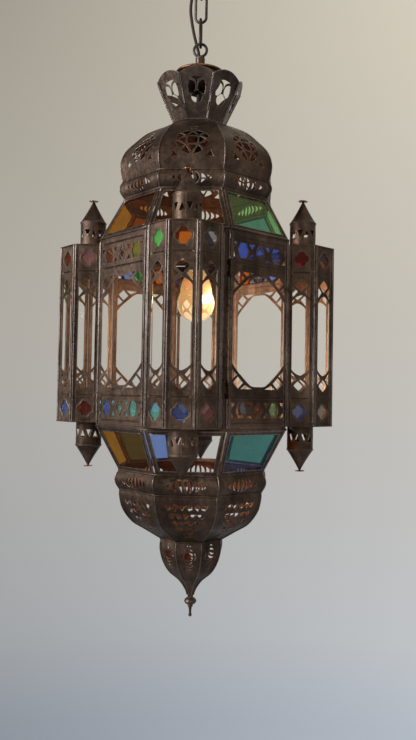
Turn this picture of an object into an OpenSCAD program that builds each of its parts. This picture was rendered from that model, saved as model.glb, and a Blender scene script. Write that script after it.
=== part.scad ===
// A hanging lantern of pierced sheet metal and coloured glass. Its octagonal body has four
// pointed turrets and four window panels, one of them a hinged door. Slanted glass hoods,
// a gored dome and an open crown are above the body; a glass hood, a gored bowl and a drop
// finial are below. It hangs by two chain links from a hook in a ceiling rose.
// Lengths are millimetres and the ceiling is the plane z = 0. Inside hung(), z = 0 is the
// underside of the body.

/* [Body] */
// Width of each side of the octagonal body
side = 120; // [116:1:128]
// Height of the body over its two rims
body_h = 288; // [276:1:310]
// Thickness of all the sheet metal
sheet = 1; // [0.8:0.1:1.2]
// Gap at the soldered seams
seam = 0.3; // [0.2:0.05:0.4]
// Height of the rim bars above and below the panels
rim_h = 4; // [3:0.5:5]
// Width of the rim bars
rim_w = 8; // [6:0.5:10]
// Diameter of the beads rolled along the sheets' edges
bead_d = 2.6; // [2.2:0.1:2.8]
// Thickness of the glass
glass_t = 2; // [1.5:0.1:3]
// Gap between a pane and the metal it is held to
glass_gap = 0.3; // [0.2:0.05:0.5]
// Width of the glass that the metal covers round an opening
glass_lap = 3; // [2:0.5:4]

/* [Turrets] */
// Width of each of a turret's five panels
turret_w = 42; // [40:0.5:43]
// How far a turret stops short of the body's top and bottom
turret_inset = 5; // [4:0.5:8]
// Thickness of the turrets' top and floor plates
turret_plate = 1.2; // [1:0.1:2]
// Lip of those plates past the panels
turret_lip = 0.8; // [0.4:0.1:1.5]
// How far the pointed caps stand out from the turrets' centres
cap_set = 4; // [0:0.5:6]
// Diameter of the pointed caps
cap_d = 41; // [36:0.5:44]
// Height of the straight part of a top cap
cap_h = 43.5; // [38:0.5:50]
// Height of a top cap's cone
cap_cone = 36; // [30:0.5:44]
// Height of the straight part of a bottom cap
drop_h = 38; // [34:0.5:44]
// Height of a bottom cap's cone
drop_cone = 33; // [28:0.5:40]
// Diameter of the nail heads on the cones
nail_d = 15; // [12:0.5:18]
// Thickness of the nail heads
nail_t = 2.2; // [1.6:0.1:3]

/* [Tracery] */
// Height of the jewelled cell at each end of a turret panel
cell_h = 41; // [38:0.5:46]
// Width of the jewel openings in the turret panels
jewel_w = 21.6; // [18:0.2:24]
// Height of the jewel openings
jewel_h = 22.8; // [18:0.2:26]
// Width of the tracery bars
bar_w = 3.2; // [2.4:0.1:4]
// Height of a turret panel's tracery, from the cell to the arch
lattice_h = 38; // [34:0.5:44]
// Width of the turret windows
slit_w = 26.6; // [24:0.2:28]
// Rise of the pointed arches over the turret windows
keel_rise = 8; // [6:0.5:10]
// Height of the solid rail above and below a window panel's band
rail_h = 12; // [10:0.5:14]
// Height of a window panel's pierced band
band_h = 25; // [22:0.5:28]
// Width of the solid stile on each side of a window
stile_w = 7; // [6.6:0.2:8]
// Size of the pierced corners of a window
corner_w = 44; // [40:0.5:48]
// Depth and width of the pressed grooves
groove = 0.5; // [0.3:0.05:0.6]

/* [Hoods] */
// Height of the slanted glass above the body
roof_h = 67.5; // [60:0.5:75]
// Radius to the corners at the top of the upper glass
roof_r = 120; // [115:0.5:126]
// Height of the slanted glass below the body
hood_h = 67.3; // [60:0.5:75]
// Radius to the corners at the foot of the lower glass
hood_r = 120; // [115:0.5:124]
// Width of the metal frames round the slanted panes
frame_w = 6.5; // [5:0.5:8]

/* [Dome and crown] */
// Height of the rounded band under the dome
skirt_h = 26.5; // [24:0.5:30]
// How far the rounded bands bulge
bulge = 6.5; // [5:0.25:8]
// How far the dome swells beyond the top of the upper glass
dome_swell = 7; // [4:0.5:10]
// Height of the dome
dome_h = 102; // [94:0.5:110]
// Radius of the waist between dome and crown
waist_r = 42; // [38:0.5:46]
// Radius of the crown at the shoulders of its petals
crown_r = 68.5; // [64:0.5:74]
// Height of the petals' shoulders over the waist
crown_h = 63.5; // [60:0.5:72]
// Rise of the arched tops of the petals
petal_arch = 9.5; // [8:0.5:15]
// Thickness of the plate that closes the waist
waist_plate = 1.5; // [1.2:0.1:3]

/* [Bowl and finial] */
// Height of the rounded band above the bowl
band_drop = 30; // [27:0.5:34]
// Largest radius of the bowl
bowl_r = 118; // [114:0.5:121]
// Height of the bowl
bowl_h = 79; // [72:0.5:86]
// Radius where the bowl meets the drop below it
throat_r = 50; // [46:0.5:54]
// Largest radius of the drop
drop_r = 51.5; // [50:0.5:58]
// Height of the drop
onion_h = 91; // [84:0.5:100]
// Radius at the tip of the drop
tip_r = 5.5; // [5:0.25:7]
// Diameter of the finial's bead
finial_d = 20; // [16:0.5:24]
// Length of the finial below the drop
finial_l = 35; // [30:0.5:42]

/* [Hanging] */
// Height of the canopy disc over the waist
disc_rise = 88; // [86:0.5:98]
// Radius of the canopy disc
disc_r = 38.5; // [34:0.5:42]
// Thickness of the canopy disc
disc_t = 1.5; // [1.2:0.1:2.5]
// Diameter of the disc's rolled rim
disc_rim_d = 4; // [3:0.25:5]
// Height of the neck above the disc
neck_h = 20.5; // [16:0.5:26]
// Outer diameter of the neck
neck_d = 15.4; // [14.4:0.2:18]
// Thickness of the cap on the neck
neck_cap_t = 4; // [3:0.5:6]
// Outer diameter of the lamp stem
stem_d = 10; // [8:0.5:11]
// Bore of the lamp stem
stem_bore = 5.6; // [5.4:0.1:6]
// Thickness of the stem's nuts
nut_t = 5; // [4:0.5:7]
// Diameter of the wire of the links, the eye and the hook
wire_d = 4.4; // [3.6:0.1:5]
// Outer diameter of the hanging eye
eye_d = 25.4; // [23:0.2:30]
// Outer width of a chain link
link_w = 22; // [20:0.5:26]
// Outer length of a chain link
link_l = 49; // [44:0.5:56]
// Radius of the hook's loop to the middle of its wire
hook_r = 6.5; // [6:0.25:9]
// Gap between one link and the next
link_play = 0.3; // [0.2:0.05:0.4]
// Radius of the ceiling rose
rose_r = 40; // [34:0.5:50]
// Depth of the ceiling rose
rose_h = 40; // [34:0.5:50]
// Wall of the ceiling rose
rose_wall = 1.2; // [1:0.1:2]
// Thickness of the ceiling plate
plate_t = 3; // [2.5:0.25:5]
// Width of the ceiling plate, a strap across the rose's mouth
plate_w = 20; // [16:0.5:26]
// Distance between the ceiling plate's two screw holes
screw_span = 44; // [36:0.5:50]
// Diameter of the screw holes
screw_d = 4.5; // [3.5:0.1:5.5]
// Diameter of the lamp cord
cord_d = 5; // [4:0.1:5.2]

/* [Lamp] */
// Diameter of the bulb
bulb_d = 60; // [50:0.5:66]
// Length of the bulb's glass
bulb_l = 83; // [78:0.5:90]
// Diameter of the bulb's screw cap
bulb_cap_d = 26.5; // [24:0.25:28]
// Length of the bulb's screw cap
bulb_cap_l = 23; // [20:0.5:27]
// Height of the bulb's lowest point over the body's underside
bulb_z = 167.5; // [150:0.5:180]
// Outer diameter of the lampholder
holder_d = 38; // [35:0.5:44]
// Length of the lampholder
holder_l = 58; // [50:0.5:64]

/* [Door] */
// Radius of the hinge pins
pin_r = 1.25; // [1:0.05:1.5]
// Wall of the hinge barrels
barrel_wall = 1.6; // [1.4:0.05:1.8]
// Length of one hinge knuckle
knuckle_l = 8; // [6:0.5:12]
// Running clearance of the hinge pins and the latch
pin_play = 0.15; // [0.1:0.01:0.2]
// Gap between the door and the rims
door_gap = 0.4; // [0.3:0.05:0.6]
// Distance of the latch below the body's top
latch_drop = 76; // [63:1:118]
// Distance from the latch's pivot to the stud that it catches
latch_reach = 8.5; // [8:0.25:9]
// Radius of the stud and of the latch's rivet
stud_r = 1.3; // [1.1:0.05:1.4]
// Thickness of the latch hook
latch_t = 1.5; // [1.2:0.1:2]

/* [Hidden] */

$fn = 48;

// An octagon's half angle, the number of its sides and the angle between them
half_turn = 22.5;
sides = 8;
step_turn = 45;
turret_turns = [0, 90, 180, 270];
door_turn = 45;
window_turns = [135, 225, 315];

// Finishes, as the lantern shows them
bronze = "#4a3f36";
worn_bronze = "#6d6157";
copper = "#8a5236";
iron = "#4c4a46";
glass_red = "#8a1f12";
glass_amber = "#a8690f";
glass_green = "#2e7d4f";
glass_blue = "#2f4fb0";
glass_violet = "#8f6f8e";
glass_clear = "#d9dcd4";

// How far cutters run past what they cut
over = 2;

// Distances worked out from the driving sizes
flat = side * (1 + sqrt(2)) / 2;
edge_cut = sheet * tan(half_turn);
panel_w = side - 2 * edge_cut - seam;
panel_h = body_h - 2 * rim_h;
latch_z = body_h - latch_drop;
turret_half = turret_w * (1 + sqrt(2)) / 2;
turret_panel_w = turret_w - 2 * edge_cut - seam;
turret_y = flat + seam + turret_w / 2;
turret_bottom = turret_inset + turret_plate;
turret_h = body_h - 2 * turret_inset - 2 * turret_plate;
cap_y = turret_y + cap_set;
wire_r = wire_d / 2;

// Heights of the rings between the parts, bottom to top
hood_z = -hood_h;
bowl_z = hood_z - band_drop;
throat_z = bowl_z - bowl_h;
tip_z = throat_z - onion_h;
roof_z = body_h + roof_h;
dome_z = roof_z + skirt_h;
waist_z = dome_z + dome_h;
disc_z = waist_z + disc_rise;
neck_z = disc_z + disc_t + disc_rim_d / 2;
cap_z = neck_z + neck_h;
eye_z = cap_z + neck_cap_t + eye_d / 2;
eye_ring_r = eye_d / 2 - wire_r;
lower_link_z = eye_z + eye_ring_r - wire_d - link_play;
link_pitch = link_l - wire_d;
upper_link_z = lower_link_z + link_pitch - wire_d - link_play;
hook_z = upper_link_z + link_pitch - wire_d - link_play;
hook_collar = 2.5;
rose_z = hook_z + 2 * hook_r + wire_r + hook_collar;
ceiling_z = rose_z + rose_h;

// Shares of radius, from the narrow end to the widest point, and of height
dome_shares = [[0.947, 0], [0.996, 0.13], [1, 0.28], [0.918, 0.455], [0.729, 0.625],
    [0.471, 0.81], [0, 1]];
bowl_shares = [[0, 0], [0.404, 0.213], [0.699, 0.374], [0.919, 0.626], [1, 0.884], [0.996, 1]];
onion_shares = [[0, 0], [0.083, 0.111], [0.302, 0.267], [0.656, 0.422], [0.885, 0.611],
    [1, 0.833], [0.978, 1]];
bend_steps = 3;
dome_r = roof_r + dome_swell;
dome_foot_r = waist_r + dome_shares[0][0] * (dome_r - waist_r);
throat_top_r = tip_r + onion_shares[6][0] * (drop_r - tip_r);

// Points between two ends on a shallow arc that stands off by rise, without the last end
arc_steps = 6;
slot_steps = 3;
function bow(a, b, rise, steps = arc_steps) = [for (i = [0:steps - 1])
    let (t = i / steps, n = [b[1] - a[1], a[0] - b[0]] / norm(b - a))
    a + (b - a) * t + n * rise * 4 * t * (1 - t)];

// A smooth line through points
function knot(p, i) = p[max(0, min(len(p) - 1, i))];
function smooth(p) = concat([for (i = [0:len(p) - 2], j = [0:bend_steps - 1])
    let (t = j / bend_steps, a = knot(p, i - 1), b = p[i], c = p[i + 1], d = knot(p, i + 2))
    b + (c - a) / 2 * t + (2 * a - 5 * b + 4 * c - d) / 2 * t * t
        + (3 * b - a - 3 * c + d) / 2 * t * t * t], [p[len(p) - 1]]);

// Profiles run upwards as [distance of the side from the axis, height]
function profile(shares, wide, narrow, foot, tall) = smooth([for (s = shares)
    [(narrow + s[0] * (wide - narrow)) * cos(half_turn), foot + s[1] * tall]]);
band_steps = 8;
function round_band(r0, r1, foot, tall) = [for (i = [0:band_steps])
    let (t = i / band_steps)
    [(r0 + (r1 - r0) * t + bulge * sin(180 * t)) * cos(half_turn), foot + tall * t]];

dome_line = profile(dome_shares, dome_r, waist_r, dome_z + seam, dome_h - seam);
skirt_line = round_band(roof_r, dome_foot_r, roof_z + seam, skirt_h - seam);
band_line = round_band(bowl_r, hood_r, bowl_z, band_drop - seam);
bowl_line = profile(bowl_shares, bowl_r, throat_r, throat_z, bowl_h - seam);
onion_line = profile(onion_shares, drop_r, tip_r, tip_z, onion_h - seam);

// A profile moved inwards by the sheet, to close the section of a bent sheet
function along(p, i) = let (d = knot(p, i + 1) - knot(p, i - 1)) d / norm(d);
function skin(p) = concat(p, [for (i = [len(p) - 1:-1:0])
    p[i] + [-along(p, i)[1], along(p, i)[0]] * sheet]);

// Place and lean of the point at a share of a profile's length
function lengths(p, i = 0, sum = 0) = i >= len(p) - 1 ? [sum]
    : concat([sum], lengths(p, i + 1, sum + norm(p[i + 1] - p[i])));
function spot(p, share) = let (l = lengths(p), at = share * l[len(p) - 1],
    i = max([for (k = [0:len(p) - 2]) if (l[k] <= at) k]),
    d = p[i + 1] - p[i], q = p[i] + d * (at - l[i]) / norm(d))
    [q[0], q[1], atan2(-d[0], d[1])];

// Lantern coordinates
module hung() translate([0, 0, -ceiling_z]) children();

// Stands flat work, drawn with x to the right and y up, on the side at a turn: its back is
// at the distance set, and it is raised outwards
module on_side(turn, set, foot = 0) rotate([0, 0, turn]) translate([0, -set, foot])
    rotate([90, 0, 0]) children();

// The same on a slope between two points of a profile
function lean(lo, hi) = atan2(lo[0] - hi[0], hi[1] - lo[1]);
module on_slope(turn, lo, hi) rotate([0, 0, turn]) translate([0, -lo[0], lo[1]])
    rotate([90 - lean(lo, hi), 0, 0]) children();

// The eighth of a turn that one side fills, less half a seam on each edge
module sector(foot, tall, reach) translate([0, 0, foot]) linear_extrude(tall)
    polygon([[0, -seam / 2 / sin(half_turn)],
        [reach * tan(half_turn), -reach - seam / 2 / sin(half_turn)],
        [-reach * tan(half_turn), -reach - seam / 2 / sin(half_turn)]]);

// A gore: a bent sheet cut to its eighth and pierced by the children at a share of its
// length
module gore(turn, line, share) {
    at = spot(line, share);
    wide = max([for (q = line) q[0]]) + sheet + over;
    foot = line[0][1];
    tall = line[len(line) - 1][1] - foot;
    rotate([0, 0, turn]) difference() {
        intersection() {
            rotate([90, 0, 90]) linear_extrude(wide, center = true)
                polygon([for (q = skin(line)) [-q[0], q[1]]]);
            sector(foot - over, tall + 2 * over, wide);
        }
        translate([0, -at[0], at[1]]) rotate([90 - at[2], 0, 0])
            linear_extrude(wide / 5, center = true) children();
    }
}

// A diamond with straight sides
module diamond(w, h) polygon([[0, h / 2], [w / 2, 0], [0, -h / 2], [-w / 2, 0]]);

// A diamond with drawn-in sides
module hollow_diamond(w, h, rise) let (a = [0, h / 2], b = [w / 2, 0])
    polygon(concat(bow(a, b, rise), bow(b, -a, rise), bow(-a, -b, rise), bow(-b, a, rise)));

// A slot with two bowed sides
module lens(h, out, in) let (a = [0, h / 2])
    polygon(concat(bow(a, -a, out, slot_steps), bow(-a, a, in, slot_steps)));

// The opening over a turret jewel, with four blunt tips and a nick between each two; the
// shares are those of its upper right quarter
jewel_shares = [[0.16, 0.5], [0.29, 0.29], [0.5, 0.13]];
module jewel_hole() polygon([for (m = [1, -1], n = [m, -m], k = [0:2])
    let (s = jewel_shares[m == n ? k : 2 - k]) [m * s[0] * jewel_w, n * s[1] * jewel_h]]);

// Tracery of one end of a turret panel, hung from the end at y = 0
diamond_shares = [0.29, 0.44, 0.6];
side_shares = [0.56, 0.78, 1.04];
lattice_set_share = 0.24;
module turret_lattice() {
    top = -cell_h;
    tip = -cell_h - lattice_h * diamond_shares[0];
    w = slit_w * diamond_shares[2];
    h = lattice_h * diamond_shares[1];
    translate([0, tip - h / 2]) diamond(w, h);
    for (m = [-1, 1]) polygon([[m * slit_w / 2, top - lattice_h * side_shares[0]],
        [m * slit_w * lattice_set_share, top - lattice_h * side_shares[1]],
        [m * slit_w / 2, top - lattice_h * side_shares[2]]]);
}

module end_pair(h) {
    translate([0, h]) children();
    mirror([0, 1]) children();
}

// A turret window between its two pointed arches
module turret_window() {
    tip = turret_h - cell_h - lattice_h;
    shoulder = tip - keel_rise;
    w = slit_w / 2;
    polygon(concat([[-w, turret_h - shoulder]], bow([-w, shoulder], [0, tip], -keel_rise / 6),
        bow([0, tip], [w, shoulder], -keel_rise / 6), [[w, shoulder]],
        bow([w, turret_h - shoulder], [0, turret_h - tip], -keel_rise / 6),
        bow([0, turret_h - tip], [-w, turret_h - shoulder], -keel_rise / 6)));
}

// Beads along both upright edges of a panel
module edge_beads(w, h) for (m = [-1, 1])
    translate([m * (w - bead_d) / 2, 0, bead_d / 2]) rotate([-90, 0, 0])
        cylinder(d = bead_d, h = h, $fn = 24);

// A pressed groove across a panel
module groove_cut(w, y) translate([-w / 2, y - groove, sheet - groove])
    cube([w, 2 * groove, 2 * groove]);

module turret_panel() {
    difference() {
        linear_extrude(sheet) difference() {
            translate([-turret_panel_w / 2, 0]) square([turret_panel_w, turret_h]);
            end_pair(turret_h) translate([0, -cell_h / 2]) jewel_hole();
            end_pair(turret_h) turret_lattice();
            turret_window();
        }
        for (y = [cell_h, turret_h - cell_h]) groove_cut(turret_panel_w - 3 * bead_d, y);
    }
    edge_beads(turret_panel_w, turret_h);
}

// Puts children on each of a turret's five sides
turret_sides = [-90, -45, 0, 45, 90];
module turret_side(turn, k, set) rotate([0, 0, turn]) translate([0, -turret_y, 0])
    on_side(turret_sides[k], turret_half - set, turret_bottom) children();

module turret(turn) color(bronze) hung() for (k = [0:4])
    turret_side(turn, k, sheet) turret_panel();

function turret_plan(grow) = let (w = turret_half + grow, b = turret_w / 2 + grow * tan(half_turn),
    back = turret_w / 2)
    [[-w, back], [-w, -b], [-b, -w], [b, -w], [w, -b], [w, back]];

// Flat work of a window panel, with its middle on x = 0 and its foot at y = 0
hex_shares = [[-0.5, 0], [-0.27, 0.5], [0.27, 0.5], [0.5, 0], [0.27, -0.5], [-0.27, -0.5]];
hex_w = 21;
hex_set = 34;
band_tip_w = 12;
window_w = side - 2 * stile_w;
band_y = rail_h + band_h / 2;
sill_h = 6;
window_foot = 2 * rail_h + band_h + sill_h;

module band_holes() {
    h = band_h - bar_w;
    tri = h / 3;
    for (m = [-1, 1]) {
        translate([m * hex_set, 0]) polygon([for (s = hex_shares) [s[0] * hex_w, s[1] * h]]);
        for (n = [-1, 1]) {
            polygon([[m * (hex_set / 2 - tri * 0.8), n * h / 2], [m * (hex_set / 2 + tri * 0.8), n * h / 2],
                [m * hex_set / 2, n * (h / 2 - tri)]]);
            polygon([[m * window_w / 2, n * h / 2], [m * (window_w / 2 - tri), n * h / 2],
                [m * window_w / 2, n * (h / 2 - tri)]]);
            polygon([[m * bar_w / 3, n * h / 2], [m * bar_w * 0.9, n * h / 2],
                [m * (band_tip_w / 2 + bar_w * 0.8), n * bar_w / 2],
                [m * (band_tip_w / 2 + bar_w * 0.4), n * bar_w / 4]]);
        }
    }
    diamond(band_tip_w, h * 0.62);
}

// The pierced corner of a window, with the corner at the origin and the window to the
// lower right
corner_shares = [[0.27, 0.21], [0.46, 0.4]];
top_nook_shares = [[0.4, 0.01], [0.915, 0.01], [0.6, 0.14]];
side_nook_shares = [[0.01, 0.31], [0.01, 0.64], [0.23, 0.47]];
module window_corner() {
    s = corner_w;
    c = corner_shares;
    translate([c[0][0] * s, -c[0][1] * s]) diamond(c[1][0] * s, c[1][1] * s);
    for (nook = [top_nook_shares, side_nook_shares]) polygon([for (q = nook) [q[0] * s, -q[1] * s]]);
}

// The clear window with lobed corners; h is its height
lobe_shares = [0.82, 0.42, 0.4, 0.15, 0.88];
module window_hole(h) {
    s = corner_w;
    w = window_w / 2;
    lobe = s / 40;
    q = [[-w, -s * lobe_shares[0]], [-w + s * lobe_shares[1], -s * lobe_shares[2]],
        [-w + s * lobe_shares[4], -s * lobe_shares[3]], [0, -s / 9]];
    half = concat(bow(q[0], q[1], -lobe), bow(q[1], q[2], 0), bow(q[2], q[3], -lobe));
    right = [for (i = [len(half) - 1:-1:0]) [-half[i][0], half[i][1]]];
    up = concat(half, [q[3]], right);
    polygon(concat([for (p = up) [p[0], p[1] + h]], [for (i = [len(up) - 1:-1:0]) [up[i][0], -up[i][1]]]));
}

module window_art(h) {
    for (y = [band_y, h - band_y]) translate([0, y]) band_holes();
    translate([0, window_foot]) {
        window_hole(h - 2 * window_foot);
        end_pair(h - 2 * window_foot) for (m = [0, 1]) mirror([m, 0])
            translate([-window_w / 2, 0]) window_corner();
    }
}

module window_panel(h) {
    difference() {
        linear_extrude(sheet) difference() {
            translate([-panel_w / 2, 0]) square([panel_w, h]);
            window_art(h);
        }
        for (y = [rail_h / 2, band_y + band_h / 2 + rail_h / 2])
            for (e = [y, h - y]) groove_cut(panel_w - 3 * bead_d, e);
    }
    edge_beads(panel_w, h);
}

// Suspension

hole_r = screw_d / 2;
thread_play = 0.3;
shank_r = stem_bore / 2 - thread_play;
hook_stem_r = 3;
plate_skin = 1;
bush_wall = 1.4;
bush_l = 7;
rose_flat_share = 0.62;
rose_bush = [-16, 6];
neck_bush = [-3, 9.5];

module ceiling_plate() color(iron) difference() {
    intersection() {
        translate([0, 0, -plate_t]) cylinder(r = rose_r - rose_wall - thread_play, h = plate_t);
        translate([-rose_r, -plate_w / 2, -plate_t]) cube([2 * rose_r, plate_w, plate_t]);
    }
    for (m = [-1, 1]) translate([m * screw_span / 2, 0, -plate_t - over])
        cylinder(r = hole_r, h = plate_t + 2 * over);
    translate([0, 0, -plate_t - over])
        cylinder(r = hook_stem_r + thread_play, h = over + plate_t - plate_skin);
}

module ceiling_rose() color(bronze) {
    f = rose_r * rose_flat_share;
    w = rose_wall;
    difference() {
        union() {
            rotate_extrude() polygon(concat([[f, -rose_h]],
                bow([f, -rose_h], [rose_r, -rose_h / 4], rose_h / 5),
                [[rose_r, -rose_h / 4], [rose_r, 0], [rose_r - w, 0], [rose_r - w, -rose_h / 4]],
                bow([rose_r - w, -rose_h / 4], [f, -rose_h + w], -rose_h / 5),
                [[f, -rose_h + w], [0, -rose_h + w], [0, -rose_h]]));
            translate([rose_bush[0], rose_bush[1], -rose_h - bush_l])
                cylinder(r = cord_d / 2 + bush_wall, h = bush_l + w, $fn = 24);
        }
        translate([0, 0, -rose_h - over]) cylinder(r = hook_stem_r + thread_play, h = w + 2 * over);
        translate([rose_bush[0], rose_bush[1], -rose_h - bush_l + bush_wall])
            cylinder(r = cord_d / 2 - bush_wall / 2, h = bush_l + w + over, $fn = 24);
    }
}

module ring(r) rotate_extrude() translate([r, 0]) circle(r = wire_r, $fn = 24);

module ceiling_hook() color(iron) {
    hung() translate([0, 0, hook_z + hook_r]) rotate([0, 90, 0]) ring(hook_r);
    translate([0, 0, -rose_h - hook_collar]) cylinder(r = 2 * hook_stem_r, h = hook_collar);
    translate([0, 0, -rose_h - hook_collar - wire_r])
        cylinder(r = hook_stem_r, h = rose_h + hook_collar + wire_r - plate_skin - thread_play);
}

// A chain link of two straight wires and two half rings, upright in the XZ plane with the
// middle of its bottom wire at the origin
module link() {
    r = link_w / 2 - wire_r;
    run = link_pitch - 2 * r;
    for (e = [0, 1]) translate([0, 0, r + e * run]) rotate([90, 180 * (1 - e), 0])
        rotate_extrude(angle = 180) translate([r, 0]) circle(r = wire_r, $fn = 24);
    for (m = [-1, 1]) translate([m * r, 0, r]) cylinder(r = wire_r, h = run, $fn = 24);
}

module upper_link() color(iron) hung() translate([0, 0, upper_link_z]) link();
module lower_link() color(iron) hung() translate([0, 0, lower_link_z]) rotate([0, 0, 90]) link();

eye_collar_r = 5;
module hanging_eye() color(iron) hung() {
    translate([0, 0, eye_z]) rotate([90, 0, 0]) ring(eye_ring_r);
    translate([0, 0, cap_z + neck_cap_t]) cylinder(r = eye_collar_r, h = wire_r);
    translate([0, 0, cap_z - nut_t]) cylinder(r = shank_r, h = neck_cap_t + nut_t + wire_r);
}

module neck_cap() color(bronze) hung() difference() {
    union() {
        translate([0, 0, cap_z]) cylinder(d = neck_d, h = neck_cap_t);
        translate([neck_bush[0] - cord_d / 2, 0, cap_z]) cube([cord_d, neck_bush[1], neck_cap_t]);
        translate([neck_bush[0], neck_bush[1], cap_z])
            cylinder(r = cord_d / 2 + bush_wall, h = neck_cap_t + bush_l, $fn = 24);
    }
    translate([0, 0, cap_z - over]) cylinder(r = stem_bore / 2, h = neck_cap_t + 2 * over);
    translate([neck_bush[0], neck_bush[1], cap_z + neck_cap_t])
        cylinder(r = cord_d / 2 - bush_wall / 2, h = bush_l - bush_wall, $fn = 24);
}

module tube(r, bore, h) rotate_extrude() translate([bore, 0]) square([r - bore, h]);

module neck_tube() color(bronze) hung() translate([0, 0, neck_z])
    tube(neck_d / 2, stem_d / 2 + thread_play, neck_h);

// The cord's route, chosen by hand: from the rose's bush, left of the chain, behind the
// eye and into the neck's bush
cord_route = [[-16, 6, -47], [-16.5, 6, -56], [-17.5, 6, -66], [-17.5, 6, -77], [-16, 6.5, -89],
    [-14, 7, -101], [-11.5, 7.5, -113], [-8.5, 8.2, -125], [-5.5, 9, -136], [-3.6, 9.5, -143],
    [-3, 9.5, -149]];
cord_sides = 8;
function run_of(p, i) = let (d = knot(p, i + 1) - knot(p, i - 1)) d / norm(d);
module sweep(p, r) {
    n = len(p);
    points = [for (i = [0:n - 1]) let (t = run_of(p, i), v = cross([1, 0, 0], t), u = v / norm(v),
        w = cross(t, u)) each [for (k = [0:cord_sides - 1])
        p[i] + r * (cos(360 * k / cord_sides) * u + sin(360 * k / cord_sides) * w)]];
    walls = [for (i = [0:n - 2], k = [0:cord_sides - 1]) let (a = i * cord_sides, m = (k + 1) % cord_sides)
        each [[a + k, a + m, a + cord_sides + k], [a + m, a + cord_sides + m, a + cord_sides + k]]];
    polyhedron(points, concat(walls, [[for (k = [cord_sides - 1:-1:0]) k]],
        [[for (k = [0:cord_sides - 1]) (n - 1) * cord_sides + k]]));
}
module lamp_cord() color("#3a2a20") {
    end = [neck_bush[0], neck_bush[1], -ceiling_z + cap_z + neck_cap_t + bush_l + seam];
    start = [rose_bush[0], rose_bush[1], -rose_h - bush_l - seam];
    last = len(cord_route) - 1;
    sweep([for (i = [0:last]) i == 0 ? start : i == last ? end : cord_route[i]], cord_d / 2);
}

module canopy_disc() color(bronze) hung() translate([0, 0, disc_z]) {
    a = disc_r - disc_rim_d / 2 - seam;
    rotate_extrude() polygon(concat(
        bow([stem_d / 2 + seam, disc_rim_d / 2], [a, -disc_t / 2], -disc_rim_d / 8),
        [[a, -disc_t / 2], [a, disc_t / 2]],
        bow([a, disc_t / 2], [stem_d / 2 + seam, disc_t + disc_rim_d / 2], disc_rim_d / 8),
        [[stem_d / 2 + seam, disc_t + disc_rim_d / 2]]));
}

module disc_rim() color(copper) hung() translate([0, 0, disc_z])
    rotate_extrude() translate([disc_r, 0]) circle(d = disc_rim_d, $fn = 24);

// Crown

petal_gap = 0.3;
crown_lo = [(waist_r - seam) * cos(half_turn), waist_z + waist_plate + petal_gap];
crown_hi = [crown_r * cos(half_turn), waist_z + crown_h];
petal_l = norm(crown_hi - crown_lo);
petal_foot = crown_lo[0] * tan(half_turn) - edge_cut - seam;
petal_top = crown_hi[0] * tan(half_turn) - edge_cut - seam;

// Openings of a petal: a tapered one on top, two half lenses and a drawn-in diamond, with
// the top, the crossing and the lowest tip as shares of the petal's length
petal_shares = [0.92, 0.68, 0.35];
petal_open_share = 0.42;
module petal_holes() {
    l = petal_l;
    w = petal_top * petal_open_share;
    top = l * petal_shares[0];
    mid = l * petal_shares[1];
    low = l * petal_shares[2];
    b = bar_w / 2;
    polygon(concat(bow([-w, top], [w, top], -l / 40), bow([w, top], [b / 2, mid + b], l / 16),
        bow([-b / 2, mid + b], [-w, top], l / 16)));
    for (m = [0, 1]) mirror([m, 0]) polygon(concat(bow([w + b, top - 2 * b], [w + b, mid - l / 8], -l / 40),
        bow([w + b, mid - l / 8], [b, mid], -l / 20), bow([b, mid], [w + b, top - 2 * b], -l / 16)));
    translate([0, (mid + low) / 2 - b]) hollow_diamond(1.7 * w, mid - low - 2 * b, -l / 26);
}

module petal() linear_extrude(sheet) difference() {
    polygon(concat([[-petal_foot, 0], [petal_foot, 0]],
        bow([petal_top, petal_l], [-petal_top, petal_l], petal_arch), [[-petal_top, petal_l]]));
    petal_holes();
}

module octagon(r, h) rotate([0, 0, half_turn]) cylinder(r = r, h = h, $fn = 8);

module crown_petals() color(worn_bronze) hung() for (i = [0:sides - 1])
    on_slope(step_turn * i, crown_lo, crown_hi) translate([0, 0, -sheet]) petal();

module crown_plate() color(bronze) hung() translate([0, 0, waist_z]) difference() {
    octagon(waist_r + sheet, waist_plate);
    translate([0, 0, -over]) cylinder(r = stem_d / 2 + seam, h = waist_plate + 2 * over);
}

nut_shares = [0.95];
module stem_nut(z) translate([0, 0, z]) difference() {
    cylinder(r = stem_d * nut_shares[0], h = nut_t, $fn = 6);
    translate([0, 0, -over]) cylinder(r = stem_d / 2 + seam, h = nut_t + 2 * over);
}
module stem_nuts() color(iron) hung() {
    stem_nut(waist_z - nut_t);
    stem_nut(waist_z + waist_plate);
    stem_nut(disc_z + disc_rim_d / 2 - seam - nut_t);
}

module lamp_stem() color(iron) hung() {
    foot = bulb_z + bulb_l + holder_l - 2 * nut_t;
    translate([0, 0, foot]) tube(stem_d / 2, stem_bore / 2, cap_z - foot);
}

// Dome and its band

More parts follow.
